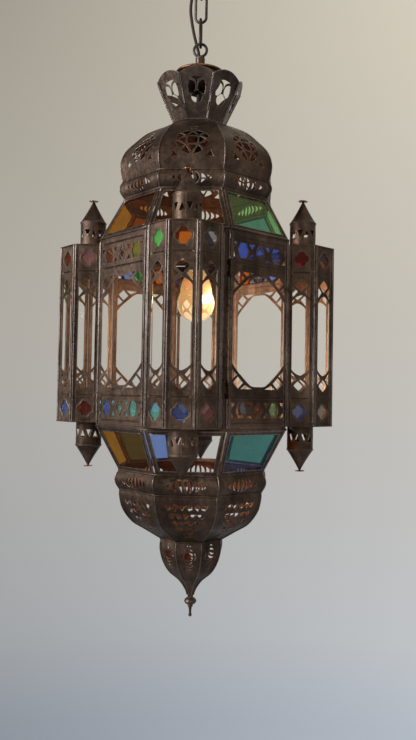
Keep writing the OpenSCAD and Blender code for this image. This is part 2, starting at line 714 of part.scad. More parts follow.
// Openings of a dome gore: a rounded square, a ring of eight kites, corner triangles and
// slits, drawn in shares of the rosette's radius
rosette_r = 25;
rosette_set_share = 0.33;
kite_shares = [[0.46, 0], [0.72, 0.27], [1, 0], [0.72, -0.27]];
nook_shares = [[0.62, -1.18], [1.12, -1.18], [1.02, -0.74]];
arc_shares = [[0.22, 1.12], [0.62, 0.94], [0.66, 1.06], [0.3, 1.26]];
dash_shares = [[0.34, 1.22], [0.5, 1.5]];
module rosette() {
    r = rosette_r;
    a = 0.26 * r;
    polygon(concat(bow([-a, a], [a, a], -a / 4), bow([a, a], [a, -a], -a / 4),
        bow([a, -a], [-a, -a], -a / 4), bow([-a, -a], [-a, a], -a / 4)));
    for (k = [0:sides - 1]) rotate(step_turn * k) polygon([for (s = kite_shares) s * r]);
    for (m = [0, 1]) mirror([m, 0]) {
        polygon([for (s = nook_shares) s * r]);
        polygon([[0.08 * r, -1.18 * r], [0.42 * r, -1.18 * r], [0.25 * r, -0.95 * r]]);
        polygon([for (s = arc_shares) s * r]);
    }
    for (s = dash_shares) translate([0, s[1] * r]) diamond(s[0] * r, r / 8);
}

module dome_gores() color(bronze) hung() for (i = [0:sides - 1])
    gore(step_turn * i, dome_line, rosette_set_share) rosette();

// Rows of upright bowed slots, the middle one straight and tallest, the others curved
// round it
slot_count = 7;
slot_pitch = 7;
slot_side_shares = [0.1, 0.72];
module slot_row(h) for (i = [0:slot_count - 1]) let (k = i - (slot_count - 1) / 2, m = sign(k))
    translate([(k - m * 0.4) * slot_pitch, 0]) lens(h * cos(90 * abs(k) / (slot_count / 2 + 0.5)),
        (m == 0 ? 0.32 : m > 0 ? -slot_side_shares[0] : slot_side_shares[1]) * slot_pitch,
        (m == 0 ? 0.32 : m > 0 ? slot_side_shares[1] : -slot_side_shares[0]) * slot_pitch);

module skirt_band() color(bronze) hung() for (i = [0:sides - 1])
    gore(step_turn * i, skirt_line, 0.5) slot_row(skirt_h * 0.8);

// Slanted glass and its frames

roof_lo = [flat, body_h];
roof_hi = [roof_r * cos(half_turn), roof_z];
hood_lo = [hood_r * cos(half_turn), hood_z];
hood_hi = [flat, 0];

// A flat piece between two heights of a slope, set in from its edges and its ends. The
// end at the body's rim stands off by the sheet, so that its inner edge clears the rim
module slope_sheet(lo, hi, edge_in) {
    l = norm(hi - lo);
    a = lo[0] * tan(half_turn) - frame_edge - edge_in;
    b = hi[0] * tan(half_turn) - frame_edge - edge_in;
    foot = edge_in + (lo[0] > hi[0] ? sheet : seam / 2);
    head = l - edge_in - (lo[0] > hi[0] ? seam / 2 : sheet);
    function at(y) = a + (b - a) * y / l;
    polygon([[-at(foot), foot], [at(foot), foot], [at(head), head], [-at(head), head]]);
}

frame_edge = sheet + seam;
module slope_frame(lo, hi) translate([0, 0, -sheet]) linear_extrude(sheet) difference() {
    slope_sheet(lo, hi, 0);
    slope_sheet(lo, hi, frame_w);
}

module slope_glass(lo, hi) translate([0, 0, -sheet - glass_gap - glass_t]) linear_extrude(glass_t)
    slope_sheet(lo, hi, frame_w - glass_lap);

module roof_frames() color(bronze) hung() for (i = [0:sides - 1])
    on_slope(step_turn * i, roof_lo, roof_hi) slope_frame(roof_lo, roof_hi);
module hood_frames() color(bronze) hung() for (i = [0:sides - 1])
    on_slope(step_turn * i, hood_lo, hood_hi) slope_frame(hood_lo, hood_hi);

// Colours of the slanted panes round the lantern from the front: a amber, g green, b blue
// and c clear
roof_colours = "cgcbcaca";
hood_colours = "cbagcbca";
module slanted_glass(letter, tint) color(tint) hung() for (i = [0:sides - 1]) {
    if (roof_colours[i] == letter) on_slope(step_turn * i, roof_lo, roof_hi) slope_glass(roof_lo, roof_hi);
    if (hood_colours[i] == letter) on_slope(step_turn * i, hood_lo, hood_hi) slope_glass(hood_lo, hood_hi);
}

// Body

module rim(foot) color(bronze) hung() for (i = [0:sides - 1]) rotate([0, 0, step_turn * i])
    intersection() {
        translate([-side, -flat, foot]) cube([2 * side, rim_w, rim_h]);
        sector(foot - over, rim_h + 2 * over, 2 * flat);
    }

// A strip of the turret sides beside the octagon's corner, m = 1 on the right
post_in = turret_half - sheet;
post_w = panel_w / 2 - post_in;
module post(m) {
    translate([m > 0 ? post_in : -post_in - post_w, 0, 0]) cube([post_w, panel_h, sheet]);
    translate([m * (panel_w - bead_d) / 2, 0, bead_d / 2]) rotate([-90, 0, 0])
        cylinder(d = bead_d, h = panel_h, $fn = 24);
}

// Hinge and latch, in the flat coordinates of the side that carries them
barrel_r = pin_r + pin_play + barrel_wall;
pin_out = barrel_r + sheet / 2 + pin_play;
pin_u = side / 2 + pin_out * sin(half_turn);
pin_n = sheet + pin_out * cos(half_turn);
leaf_w = 5.5;
leaf_t = 1;
hinge_shares = [0.2, 0.8];
hinge_l = 3 * knuckle_l + 2 * seam;
function hinge_foot(k) = hinge_shares[k] * body_h - hinge_l / 2 - rim_h;
function knuckle_foot(k, j) = hinge_foot(k) + j * (knuckle_l + seam);

// A knuckle and its leaf at height y on the right edge
module knuckle(y) translate([0, y, 0]) rotate([-90, 0, 0]) linear_extrude(knuckle_l) {
    translate([pin_u, -pin_n]) circle(r = barrel_r, $fn = 24);
    polygon([[pin_u, -pin_n], [pin_u - barrel_r, -pin_n], [side / 2 - leaf_w, -sheet - leaf_t],
        [side / 2 - leaf_w, -sheet / 2], [panel_w / 2 - bead_d / 2, -sheet / 2],
        [pin_u, -pin_n + barrel_r / 2]]);
}
module knuckle_bore() translate([pin_u, -over, pin_n]) rotate([-90, 0, 0])
    cylinder(r = pin_r + pin_play, h = body_h, $fn = 24);

stud_set = 5;
stud_u = side / 2 + stud_set * cos(step_turn);
stud_n = sheet - stud_set * sin(step_turn);
latch_n = bead_d + link_play;
stud_top = latch_n + latch_t + sheet;

module hinge_post() color(bronze) hung() on_side(0, flat - sheet, rim_h) difference() {
    union() {
        post(1);
        for (k = [0, 1], j = [0, 2]) knuckle(knuckle_foot(k, j));
    }
    knuckle_bore();
}

module keeper_stud() translate([0, 0, latch_z - rim_h]) on_side(door_turn, flat - sheet, 0)
    translate([stud_u, 0, stud_n - 2 * stud_r])
        cylinder(r = stud_r, h = stud_top - stud_n + 2 * stud_r, $fn = 24);

module corner_posts() color(bronze) hung() {
    for (t = turret_turns, m = [-1, 1]) if (!(t == 0 && m == 1)) {
        on_side(t, flat - sheet, rim_h) post(m);
    }
    translate([0, 0, rim_h]) keeper_stud();
}

module window_panels() color(bronze) hung() for (t = window_turns)
    on_side(t, flat - sheet, rim_h) window_panel(panel_h);

module pane(w, h) linear_extrude(glass_t) translate([-w / 2, 0]) square([w, h]);
pane_back = sheet + glass_gap + glass_t;

module window_pane(h) let (foot = window_foot - glass_lap)
    translate([0, foot, 0]) pane(window_w + glass_lap, h - 2 * foot);
module window_glass() color(glass_clear) hung() for (t = window_turns)
    on_side(t, flat - pane_back, rim_h) window_pane(panel_h);

module turret_plates() color(bronze) hung() for (t = turret_turns)
    for (z = [turret_inset, body_h - turret_inset - turret_plate])
        rotate([0, 0, t]) translate([0, -turret_y, z]) linear_extrude(turret_plate)
            polygon(turret_plan(turret_lip));

slit_pane_w = slit_w + glass_lap;
module turret_glass() color(glass_clear) hung() for (t = turret_turns, k = [0:4])
    turret_side(t, k, pane_back) translate([0, cell_h + glass_lap, 0])
        pane(slit_pane_w, turret_h - 2 * (cell_h + glass_lap));

// Jewel colours: r red, a amber, g green, b blue, v violet and c clear. For each turret from
// the front one: the top and bottom jewels of its five sides, left to right. For each
// window panel: the left, middle and right glass of its top and bottom bands
turret_jewels = [["vgacb", "agbva"], ["rcbav", "bvrga"], ["gavrb", "rbcag"], ["bgcav", "gaabr"]];
window_jewels = [["bca", "grb"], ["agb", "bcr"], ["rrg", "bgg"]];
jewel_plate_w = jewel_w + glass_lap;
jewel_plate_h = jewel_h + glass_lap;
hex_plate_w = hex_w + glass_lap;
tip_plate_w = 2 * (hex_set - hex_plate_w / 2) - glass_lap;

module band_pane(k, h) {
    w = k == 1 ? tip_plate_w : hex_plate_w;
    translate([(k - 1) * hex_set - w / 2, h - band_h / 2, 0]) cube([w, band_h, glass_t]);
}

module jewels(letter, tint) color(tint) hung() {
    for (i = [0:3], k = [0:4], e = [0, 1]) if (turret_jewels[i][e][k] == letter)
        turret_side(turret_turns[i], k, pane_back)
            translate([-jewel_plate_w / 2,
                (e == 0 ? turret_h - cell_h / 2 : cell_h / 2) - jewel_plate_h / 2, 0])
                    cube([jewel_plate_w, jewel_plate_h, glass_t]);
    for (i = [0:2], k = [0:2], e = [0, 1]) if (window_jewels[i][e][k] == letter)
        on_side(window_turns[i], flat - pane_back, rim_h) band_pane(k, e == 0 ? panel_h - band_y : band_y);
}

// Pointed caps of the turrets

cap_holes = 12;
cap_band_share = 0.5;
cap_zigzag_h = 12;
module zigzag(r, z) for (i = [0:cap_holes - 1]) rotate([0, 0, 360 / cap_holes * i]) {
    w = PI * r / cap_holes - bar_w / 5;
    up = i % 2 == 0 ? 1 : -1;
    translate([0, 0, z]) rotate([90, 0, 0]) linear_extrude(r + over)
        polygon([[-w, -up * cap_zigzag_h / 2], [w, -up * cap_zigzag_h / 2], [0, up * cap_zigzag_h / 2]]);
}

module cap_shell(r, h, cone) rotate_extrude() polygon([[r, 0], [r, h], [r + sheet, h],
    [r + sheet, h + sheet], [r, h + sheet], [sheet, h + cone], [0, h + cone],
    [0, h + cone - 2 * sheet], [r - sheet, h], [r - sheet, 0]]);

module each_turret(z) for (t = turret_turns) rotate([0, 0, t]) translate([0, -cap_y, z]) children();

module turret_caps() color(bronze) hung() each_turret(body_h - turret_inset) difference() {
    cap_shell(cap_d / 2, cap_h, cap_cone);
    zigzag(cap_d / 2, cap_h * cap_band_share + cap_zigzag_h / 4);
}

module turret_drops() color(bronze) hung() each_turret(turret_inset) mirror([0, 0, 1]) difference() {
    cap_shell(cap_d / 2, drop_h, drop_cone);
    zigzag(cap_d / 2, drop_h * cap_band_share);
}

module nail() {
    cylinder(d1 = nail_d / 2, d2 = nail_d, h = nail_t / 2);
    translate([0, 0, nail_t / 2]) cylinder(d = nail_d, h = nail_t / 2);
}
module cap_nails() color(copper) hung() {
    each_turret(body_h - turret_inset + cap_h + cap_cone) nail();
    each_turret(turret_inset - drop_h - drop_cone) mirror([0, 0, 1]) nail();
}

// Bowl, drop and finial

module lower_band() color(bronze) hung() for (i = [0:sides - 1])
    gore(step_turn * i, band_line, 0.5) slot_row(band_drop * 0.75);

// A field of small kites in rows that narrow downwards, each a third of a turn round from
// its neighbour
kite_rows = 6;
kite_w = 10.6;
kite_h = 11.6;
kite_set_share = 0.53;
bowl_kite_shares = [[0, 0.42], [0.4, 0.14], [0, -0.5], [-0.4, 0.14]];
module kite_field() for (r = [0:kite_rows - 1], i = [0:r]) translate([(i - r / 2) * kite_w,
    (r - kite_rows / 2) * kite_h + kite_h / 2]) rotate(120 * ((r + i) % 3))
        polygon([for (s = bowl_kite_shares) [s[0] * kite_w, s[1] * kite_w]]);

module bowl_gores() color(bronze) hung() for (i = [0:sides - 1])
    gore(step_turn * i, bowl_line, kite_set_share) kite_field();

// A small square between four bowed slits, with smaller slits above and below, drawn in
// shares of the square
onion_square = 9;
onion_set_share = 0.79;
onion_slit_shares = [[0.7, 1.42], [1.3, -1.3], [0.8, -1.95]];
module onion_slit(l) rotate(90) lens(l, -l / 11, l / 3.3);
module onion_holes() {
    a = onion_square / 2;
    polygon(concat(bow([-a, a], [a, a], -a / 4), bow([a, a], [a, -a], -a / 4),
        bow([a, -a], [-a, -a], -a / 4), bow([-a, -a], [-a, a], -a / 4)));
    for (k = [0:3]) rotate(90 * k) translate([0, onion_square * 0.8]) onion_slit(onion_square * 1.1);
    for (s = onion_slit_shares) translate([0, s[1] * onion_square]) rotate(s[1] < 0 ? 180 : 0)
        onion_slit(s[0] * onion_square);
}
module onion_gores() color(bronze) hung() for (i = [0:sides - 1])
    gore(step_turn * i, onion_line, onion_set_share) onion_holes();

tenon_l = 6;
finial_neck_r = 4.5;
module finial() color(worn_bronze) hung() translate([0, 0, tip_z]) {
    b = finial_d / 2;
    n = finial_neck_r;
    tenon = tip_r * cos(half_turn) - sheet - seam;
    rotate_extrude() polygon(concat(
        [[0, tenon_l], [tenon, tenon_l], [tenon, -seam], [n, -seam], [n, -b / 2]],
        bow([n, -b / 2], [b, -b], -b / 8), bow([b, -b], [n, -1.5 * b], -b / 8),
        bow([n, -1.5 * b], [n / 2, -finial_l + n / 2], n / 3),
        [[n / 2, -finial_l + n / 2], [n / 4, -finial_l], [0, -finial_l]]));
}

// Lamp

holder_foot = bulb_z + bulb_l - seam;
module lampholder() color("#2b2926") hung() translate([0, 0, holder_foot]) {
    bore = bulb_cap_d / 2 + seam;
    neck = stem_d / 2 + seam;
    r = holder_d / 2;
    rotate_extrude() polygon([[bore, 0], [r, 0], [r, holder_l * 0.7], [r * 0.7, holder_l * 0.78],
        [r * 0.5, holder_l], [neck, holder_l], [neck, bulb_cap_l + 3 * seam],
        [bore, bulb_cap_l + 3 * seam]]);
}

function bulb_line(r, neck) = concat([for (a = [-90:15:30]) [r * cos(a), r * sin(a)]],
    bow([r * cos(45), r * sin(45)], [neck, bulb_l - bulb_d / 2], r / 12), [[neck, bulb_l - bulb_d / 2]]);
bulb_wall = 1;
module bulb_glass() color(glass_clear) hung() translate([0, 0, bulb_z + bulb_d / 2]) {
    neck = bulb_cap_d / 2 - bulb_wall;
    out = bulb_line(bulb_d / 2, neck);
    in = bulb_line(bulb_d / 2 - bulb_wall, neck - bulb_wall);
    rotate_extrude() polygon(concat([for (p = out) [max(0, p[0]), p[1]]],
        [for (i = [len(in) - 1:-1:0]) [max(0, in[i][0]), in[i][1]]]));
}

cap_tip_r = 6;
module bulb_cap() color("#b9b4a6") hung() translate([0, 0, bulb_z + bulb_l]) rotate_extrude()
    polygon([[0, 0], [bulb_cap_d / 2, 0], [bulb_cap_d / 2, bulb_cap_l * 0.85],
        [cap_tip_r, bulb_cap_l], [0, bulb_cap_l]]);

filament_count = 4;
module bulb_filament() color("#ffd9a0") hung() translate([0, 0, bulb_z + bulb_l]) mirror([0, 0, 1]) {
    cylinder(r = bulb_cap_d / 8, h = bulb_l / 3, $fn = 24);
    for (i = [0:filament_count - 1]) rotate([0, 0, 90 * i]) translate([bulb_cap_d / 8, 0, bulb_l / 4])
        cylinder(r = bulb_wall, h = bulb_l / 2, $fn = 24);
}

// Door

door_h = panel_h - 2 * door_gap;
door_foot = rim_h + door_gap;
latch_u = stud_u - latch_reach;
rivet_head_r = 2.4;
module on_door() on_side(door_turn, flat - sheet, door_foot) children();

module door_panel() color(bronze) hung() on_door() {
    difference() {
        union() {
            window_panel(door_h);
            mirror([1, 0, 0]) for (k = [0, 1]) knuckle(knuckle_foot(k, 1) - door_gap);
        }
        mirror([1, 0, 0]) knuckle_bore();
    }
    translate([latch_u, latch_z - door_foot, 0]) {
        cylinder(r = stud_r, h = stud_top, $fn = 24);
        translate([0, 0, latch_n + latch_t + link_play]) cylinder(r = rivet_head_r, h = sheet, $fn = 24);
    }
}

module door_glass() color(glass_clear) hung() on_door() translate([0, 0, -glass_gap - glass_t])
    window_pane(door_h);

module door_jewels(e, tint) color(tint) hung() on_door() translate([0, 0, -glass_gap - glass_t])
    for (k = [0:2]) band_pane(k, e == 0 ? door_h - band_y : band_y);

pin_head_r = 2;
module hinge_pins() color(iron) hung() on_side(0, flat - sheet, rim_h) for (k = [0, 1])
    translate([pin_u, hinge_foot(k), pin_n]) rotate([-90, 0, 0]) {
        cylinder(r = pin_r, h = hinge_l + seam, $fn = 24);
        translate([0, 0, hinge_l + seam]) cylinder(r = pin_head_r, h = sheet, $fn = 24);
    }

// The latch: an eye on the rivet and a crook, open downwards, over the keeper stud
slot_play = 0.4;
eye_r = 3.1;
crook_r = 3.4;
tab_l = 8;
module latch_hook() color(iron) hung() on_door()
    translate([latch_u, latch_z - door_foot, latch_n]) linear_extrude(latch_t) difference() {
        union() {
            circle(r = eye_r);
            translate([latch_reach, 0]) circle(r = crook_r);
            square([latch_reach, eye_r]);
            translate([latch_reach - eye_r / 2, 0]) square([eye_r, crook_r + tab_l]);
        }
        circle(r = stud_r + pin_play);
        translate([latch_reach, 0]) circle(r = stud_r + slot_play);
        intersection() {
            difference() {
                circle(r = latch_reach + stud_r + slot_play);
                circle(r = latch_reach - stud_r - slot_play);
            }
            polygon([[0, 0], [2 * latch_reach, 0], [2 * latch_reach, -2 * latch_reach],
                [latch_reach / 2, -latch_reach]]);
        }
    }

ceiling_plate();
ceiling_rose();
ceiling_hook();
upper_link();
lower_link();
hanging_eye();
neck_cap();
neck_tube();
lamp_cord();
canopy_disc();
disc_rim();
crown_petals();
crown_plate();
stem_nuts();
lamp_stem();
dome_gores();
skirt_band();
roof_frames();
hood_frames();
slanted_glass("a", glass_amber);  // slanted_glass_amber
slanted_glass("g", glass_green);  // slanted_glass_green
slanted_glass("b", glass_blue);  // slanted_glass_blue
slanted_glass("c", glass_clear);  // slanted_glass_clear
rim(body_h - rim_h);  // top_rim
rim(0);  // bottom_rim
corner_posts();
hinge_post();
window_panels();
window_glass();
turret(turret_turns[0]);  // front_turret
turret(turret_turns[1]);  // right_turret
turret(turret_turns[2]);  // rear_turret
turret(turret_turns[3]);  // left_turret
turret_plates();
turret_glass();
jewels("r", glass_red);  // jewels_red
jewels("a", glass_amber);  // jewels_amber
jewels("g", glass_green);  // jewels_green
jewels("b", glass_blue);  // jewels_blue
jewels("v", glass_violet);  // jewels_violet
jewels("c", glass_clear);  // jewels_clear
turret_caps();
turret_drops();
cap_nails();
lower_band();
bowl_gores();
onion_gores();
finial();
lampholder();
bulb_glass();
bulb_cap();
bulb_filament();
door_panel();
door_glass();
door_jewels(0, glass_blue);  // door_jewels_blue
door_jewels(1, glass_amber);  // door_jewels_amber
hinge_pins();
latch_hook();
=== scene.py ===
"""A hanging lantern of pierced bronze sheet and coloured glass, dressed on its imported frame."""

from math import atan2, ceil, cos, dist, hypot, pi, radians, sin, sqrt, tan

import bmesh
import bpy
from mathutils import Matrix, Vector
from mathutils.geometry import delaunay_2d_cdt


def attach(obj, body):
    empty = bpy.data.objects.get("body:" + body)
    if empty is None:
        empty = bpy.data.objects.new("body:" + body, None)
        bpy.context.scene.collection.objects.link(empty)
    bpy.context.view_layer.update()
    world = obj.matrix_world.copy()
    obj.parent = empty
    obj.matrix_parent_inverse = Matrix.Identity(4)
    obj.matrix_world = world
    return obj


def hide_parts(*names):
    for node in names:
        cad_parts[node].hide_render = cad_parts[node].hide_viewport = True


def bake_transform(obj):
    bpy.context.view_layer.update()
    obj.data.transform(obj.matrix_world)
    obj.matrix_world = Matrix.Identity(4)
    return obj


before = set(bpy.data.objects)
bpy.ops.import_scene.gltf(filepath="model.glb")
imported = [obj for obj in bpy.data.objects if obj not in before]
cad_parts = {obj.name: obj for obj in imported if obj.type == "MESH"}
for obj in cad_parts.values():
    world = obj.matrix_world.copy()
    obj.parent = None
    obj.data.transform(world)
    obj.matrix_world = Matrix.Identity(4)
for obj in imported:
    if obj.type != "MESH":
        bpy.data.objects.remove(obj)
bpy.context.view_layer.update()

# Lengths are millimetres, and heights are over the body's underside, until a mesh is made.
MM = 0.001
CEILING = 756.0
SIDES = 8
STEP = radians(45)
HALF = STEP / 2
COS_HALF, TAN_HALF = cos(HALF), tan(HALF)
SEAM = 0.3
SHEET = 1.0
SIDE, BODY_H, RIM_H, RIM_W = 120.0, 288.0, 4.0, 8.0
FLAT = SIDE * (1 + sqrt(2)) / 2
PANEL_H = BODY_H - 2 * RIM_H
EDGE_CUT = SHEET * TAN_HALF
PANEL_W = SIDE - 2 * EDGE_CUT - SEAM
BEAD_R = 1.3
WINDOW_TURNS = (135, 225, 315)
DOOR_TURN = 45
TURRET_TURNS = {"front": 0, "right": 90, "rear": 180, "left": 270}
TURRET_W = 42.0
TURRET_HALF = TURRET_W * (1 + sqrt(2)) / 2
TURRET_PANEL_W = TURRET_W - 2 * EDGE_CUT - SEAM
TURRET_Y = FLAT + SEAM + TURRET_W / 2
TURRET_INSET, TURRET_PLATE = 5.0, 1.2
TURRET_BOTTOM = TURRET_INSET + TURRET_PLATE
TURRET_H = BODY_H - 2 * TURRET_BOTTOM
CAP_Y = TURRET_Y + 4
BAR_W = 3.2

ROOF_H, ROOF_R, HOOD_H, HOOD_R = 67.5, 120.0, 67.3, 120.0
SKIRT_H, BULGE, DOME_R, DOME_H = 26.5, 6.5, 127.0, 102.0
WAIST_R, CROWN_R, CROWN_H, PETAL_ARCH, WAIST_PLATE = 42.0, 71.0, 63.5, 9.5, 1.5
BAND_DROP, BOWL_R, BOWL_H, THROAT_R = 30.0, 118.0, 79.0, 50.0
DROP_R, ONION_H, TIP_R = 51.5, 91.0, 5.5
ROOF_Z = BODY_H + ROOF_H
DOME_Z = ROOF_Z + SKIRT_H
WAIST_Z = DOME_Z + DOME_H
BOWL_Z = -HOOD_H - BAND_DROP
THROAT_Z = BOWL_Z - BOWL_H
TIP_Z = THROAT_Z - ONION_H
DISC_Z, DISC_R, DISC_T, DISC_RIM_R = WAIST_Z + 88, 38.5, 1.5, 2.0
NECK_Z = DISC_Z + DISC_T + DISC_RIM_R
NECK_H = 20.5
CAP_Z = NECK_Z + NECK_H
NECK_R, NECK_CAP_T, WIRE_R = 7.7, 4.0, 2.2
EYE_R = 25.4 / 2 - WIRE_R
EYE_Z = CAP_Z + NECK_CAP_T + 12.7
LINK_R, LINK_PITCH = 11 - WIRE_R, 49 - 2 * WIRE_R
LOWER_LINK_Z = EYE_Z + EYE_R - 2 * WIRE_R - SEAM
UPPER_LINK_Z = LOWER_LINK_Z + LINK_PITCH - 2 * WIRE_R - SEAM
HOOK_Z = UPPER_LINK_Z + LINK_PITCH - 2 * WIRE_R - SEAM
HOOK_R = 6.5
ROSE_H, ROSE_R = 40.0, 40.0
BULB_Z, BULB_R, BULB_L = 167.5, 30.0, 83.0

DOME_SHARES = [(0.947, 0), (0.996, 0.13), (1, 0.28), (0.918, 0.455), (0.729, 0.625),
               (0.471, 0.81), (0, 1)]
BOWL_SHARES = [(0, 0), (0.404, 0.213), (0.699, 0.374), (0.919, 0.626), (1, 0.884), (0.996, 1)]
ONION_SHARES = [(0, 0), (0.083, 0.111), (0.302, 0.267), (0.656, 0.422), (0.885, 0.611),
                (1, 0.833), (0.978, 1)]


def lantern(x, y, z):
    """A place in the lantern's millimetres as a place in the row frame's metres."""
    return Vector((x * MM, y * MM, (z - CEILING) * MM))


# ---- nodes

def put(tree, slot, value):
    """Fills a node's input with a plain value or with another node's output."""
    if isinstance(value, bpy.types.NodeSocket):
        tree.links.new(value, slot)
    else:
        slot.default_value = (*value, 1) if slot.type == "RGBA" else value


def give(tree, made, *values, **inputs):
    """Fills a node's first inputs in order, and others by name."""
    for slot, value in zip(made.inputs, values):
        put(tree, slot, value)
    for label, value in inputs.items():
        put(tree, made.inputs[label.replace("_", " ")], value)
    return made


def node(tree, kind, *values, how=None, **inputs):
    made = tree.nodes.new(kind)
    if how:
        made.operation = how
    return give(tree, made, *values, **inputs)


def sum_of(tree, how, *values):
    return node(tree, "ShaderNodeMath", *values, how=how).outputs[0]


def vector_of(tree, how, *values, **inputs):
    """A sum on vectors, which comes out as a number for a distance, length or dot product."""
    made = node(tree, "ShaderNodeVectorMath", *values, how=how, **inputs)
    return made.outputs["Value" if how in ("DISTANCE", "LENGTH", "DOT_PRODUCT") else "Vector"]


def ramp_of(tree, source, stops):
    """A colour ramp on a value: stops are (position, grey or colour)."""
    ramp = node(tree, "ShaderNodeValToRGB", source)
    elements = ramp.color_ramp.elements
    while len(elements) < len(stops):
        elements.new(0.5)
    for element, (at, colour) in zip(elements, stops):
        element.position = at
        element.color = (*colour, 1) if isinstance(colour, tuple) else (colour,) * 3 + (1,)
    return ramp.outputs[0]


def place_of(tree):
    return node(tree, "ShaderNodeTexCoord").outputs["Object"]


def noise_of(tree, scale, detail=4.0, rough=0.55, stretch=(1, 1, 1), distortion=0.0):
    place = node(tree, "ShaderNodeMapping", place_of(tree), Scale=stretch).outputs[0]
    return node(tree, "ShaderNodeTexNoise", Vector=place, Scale=scale, Detail=detail,
                Roughness=rough, Distortion=distortion).outputs["Fac"]


def blend_of(tree, amount, a, b, how="MIX"):
    """Colour a mixed with b by an amount; each is a colour or a socket."""
    mix = node(tree, "ShaderNodeMix")
    mix.data_type, mix.blend_type = "RGBA", how
    for at, value in ((0, amount), (6, a), (7, b)):
        put(tree, mix.inputs[at], value)
    return mix.outputs[2]


def edge_of(tree, reach):
    """How near a sharp edge the surface is, from 0 to 1."""
    soft = node(tree, "ShaderNodeBevel", Radius=reach)
    soft.samples = 4
    true = node(tree, "ShaderNodeNewGeometry").outputs["Normal"]
    return sum_of(tree, "SUBTRACT", 1.0, vector_of(tree, "DOT_PRODUCT", soft.outputs[0], true))


def finish_tree(name):
    made = bpy.data.materials.new(name)
    made.use_nodes = True
    tree = made.node_tree
    return made, tree, tree.nodes["Principled BSDF"]


def relief(tree, shader, height, strength, depth):
    """Raises a finish's surface by a height; the depth is in metres."""
    bump = node(tree, "ShaderNodeBump", Strength=strength, Distance=depth, Height=height)
    give(tree, shader, Normal=bump.outputs[0])


def clear_by(tree, shader, amount, tint=(1, 1, 1)):
    """Lets light pass a finish straight, by an amount."""
    clear = node(tree, "ShaderNodeBsdfTransparent", tint)
    mix = node(tree, "ShaderNodeMixShader", amount, shader.outputs[0], clear.outputs[0])
    give(tree, tree.nodes["Material Output"], mix.outputs[0])


def shadow_ray(tree):
    return node(tree, "ShaderNodeLightPath").outputs["Is Shadow Ray"]


# ---- camera, world and lamps

WALL = [(0.30, (0.366, 0.402, 0.456)), (0.35, (0.445, 0.462, 0.479)),
        (0.55, (0.497, 0.468, 0.418)), (0.71, (0.521, 0.485, 0.402))]
WALL_MOST, WALL_LEAST = 1.38, 0.2
CAMERA_AWAY, CAMERA_H, CAMERA_LENS, FRAME_H = 1180.0, 50.8, 35.67, 36
CAMERA_TURNS = radians(4.774), 0.0184, 0.0337, 0.0178


def show(name, data):
    """Puts a mesh, a lamp or a camera into the scene."""
    made = bpy.data.objects.new(name, data)
    bpy.context.scene.collection.objects.link(made)
    return made


def set_camera():
    """The photograph's view: a little right of the front turret and below the middle."""
    turn, yaw, pitch, roll = CAMERA_TURNS
    place = lantern(CAMERA_AWAY * sin(turn), -CAMERA_AWAY * cos(turn), CAMERA_H)
    right = Vector((cos(yaw), -sin(yaw), 0))
    up = Vector((-sin(pitch) * sin(yaw), -sin(pitch) * cos(yaw), cos(pitch)))
    across = cos(roll) * right + sin(roll) * up
    above = -sin(roll) * right + cos(roll) * up
    basis = Matrix((across, above, across.cross(above))).transposed()
    data = bpy.data.cameras.new("camera")
    data.sensor_fit, data.sensor_height, data.lens = "VERTICAL", FRAME_H, CAMERA_LENS
    camera = show("camera", data)
    camera.matrix_world = Matrix.Translation(place) @ (
        Matrix.Rotation(turn, 3, "Z") @ basis).to_4x4()
    bpy.context.scene.camera = camera


def set_world():
    """A pale wall, warm above and cool below; metal mirrors it darker on the right."""
    world = bpy.data.worlds.new("room")
    world.use_nodes = True
    tree = world.node_tree
    tree.nodes.clear()
    place = node(tree, "ShaderNodeTexCoord").outputs["Generated"]
    x, _, z = node(tree, "ShaderNodeSeparateXYZ", place).outputs
    ray = node(tree, "ShaderNodeLightPath").outputs
    wall = ramp_of(tree, sum_of(tree, "MULTIPLY_ADD", z, 0.5, 0.5), WALL)
    slope = sum_of(tree, "MULTIPLY_ADD", z, sum_of(tree, "MULTIPLY", z, 3.0), 0.45)
    across = sum_of(tree, "MULTIPLY_ADD", x, slope, 1.03)
    across = sum_of(tree, "MAXIMUM", sum_of(tree, "MINIMUM", across, WALL_MOST), WALL_LEAST)
    shade = sum_of(tree, "MULTIPLY_ADD", x, -0.45, -0.06)
    mirror = sum_of(tree, "GREATER_THAN", ray["Is Glossy Ray"], ray["Is Transmission Ray"])
    across = sum_of(tree, "MULTIPLY", across, sum_of(tree, "MULTIPLY_ADD", mirror, shade, 1.0))
    tinted = vector_of(tree, "SCALE", wall, Scale=across)
    seen = node(tree, "ShaderNodeBackground", Color=tinted)
    dim = node(tree, "ShaderNodeBackground", Color=(0.86, 0.90, 1.0), Strength=0.37)
    plainly = sum_of(tree, "MAXIMUM", ray["Is Camera Ray"], ray["Is Glossy Ray"])
    plainly = sum_of(tree, "MAXIMUM", plainly, ray["Is Transmission Ray"])
    mix = node(tree, "ShaderNodeMixShader", plainly, dim.outputs[0], seen.outputs[0])
    node(tree, "ShaderNodeOutputWorld", mix.outputs[0])
    bpy.context.scene.world = world
    bpy.context.scene.view_settings.view_transform = "Standard"


def add_lamp(name, kind, place, power, colour, size, aim=None):
    data = bpy.data.lights.new(name, kind)
    data.energy, data.color = power, colour
    setattr(data, "size" if kind == "AREA" else "shadow_soft_size", size)
    lamp = show(name, data)
    lamp.location = place
    if aim is not None:
        lamp.rotation_euler = (Vector(aim) - Vector(place)).to_track_quat("-Z", "Y").to_euler()
    return lamp


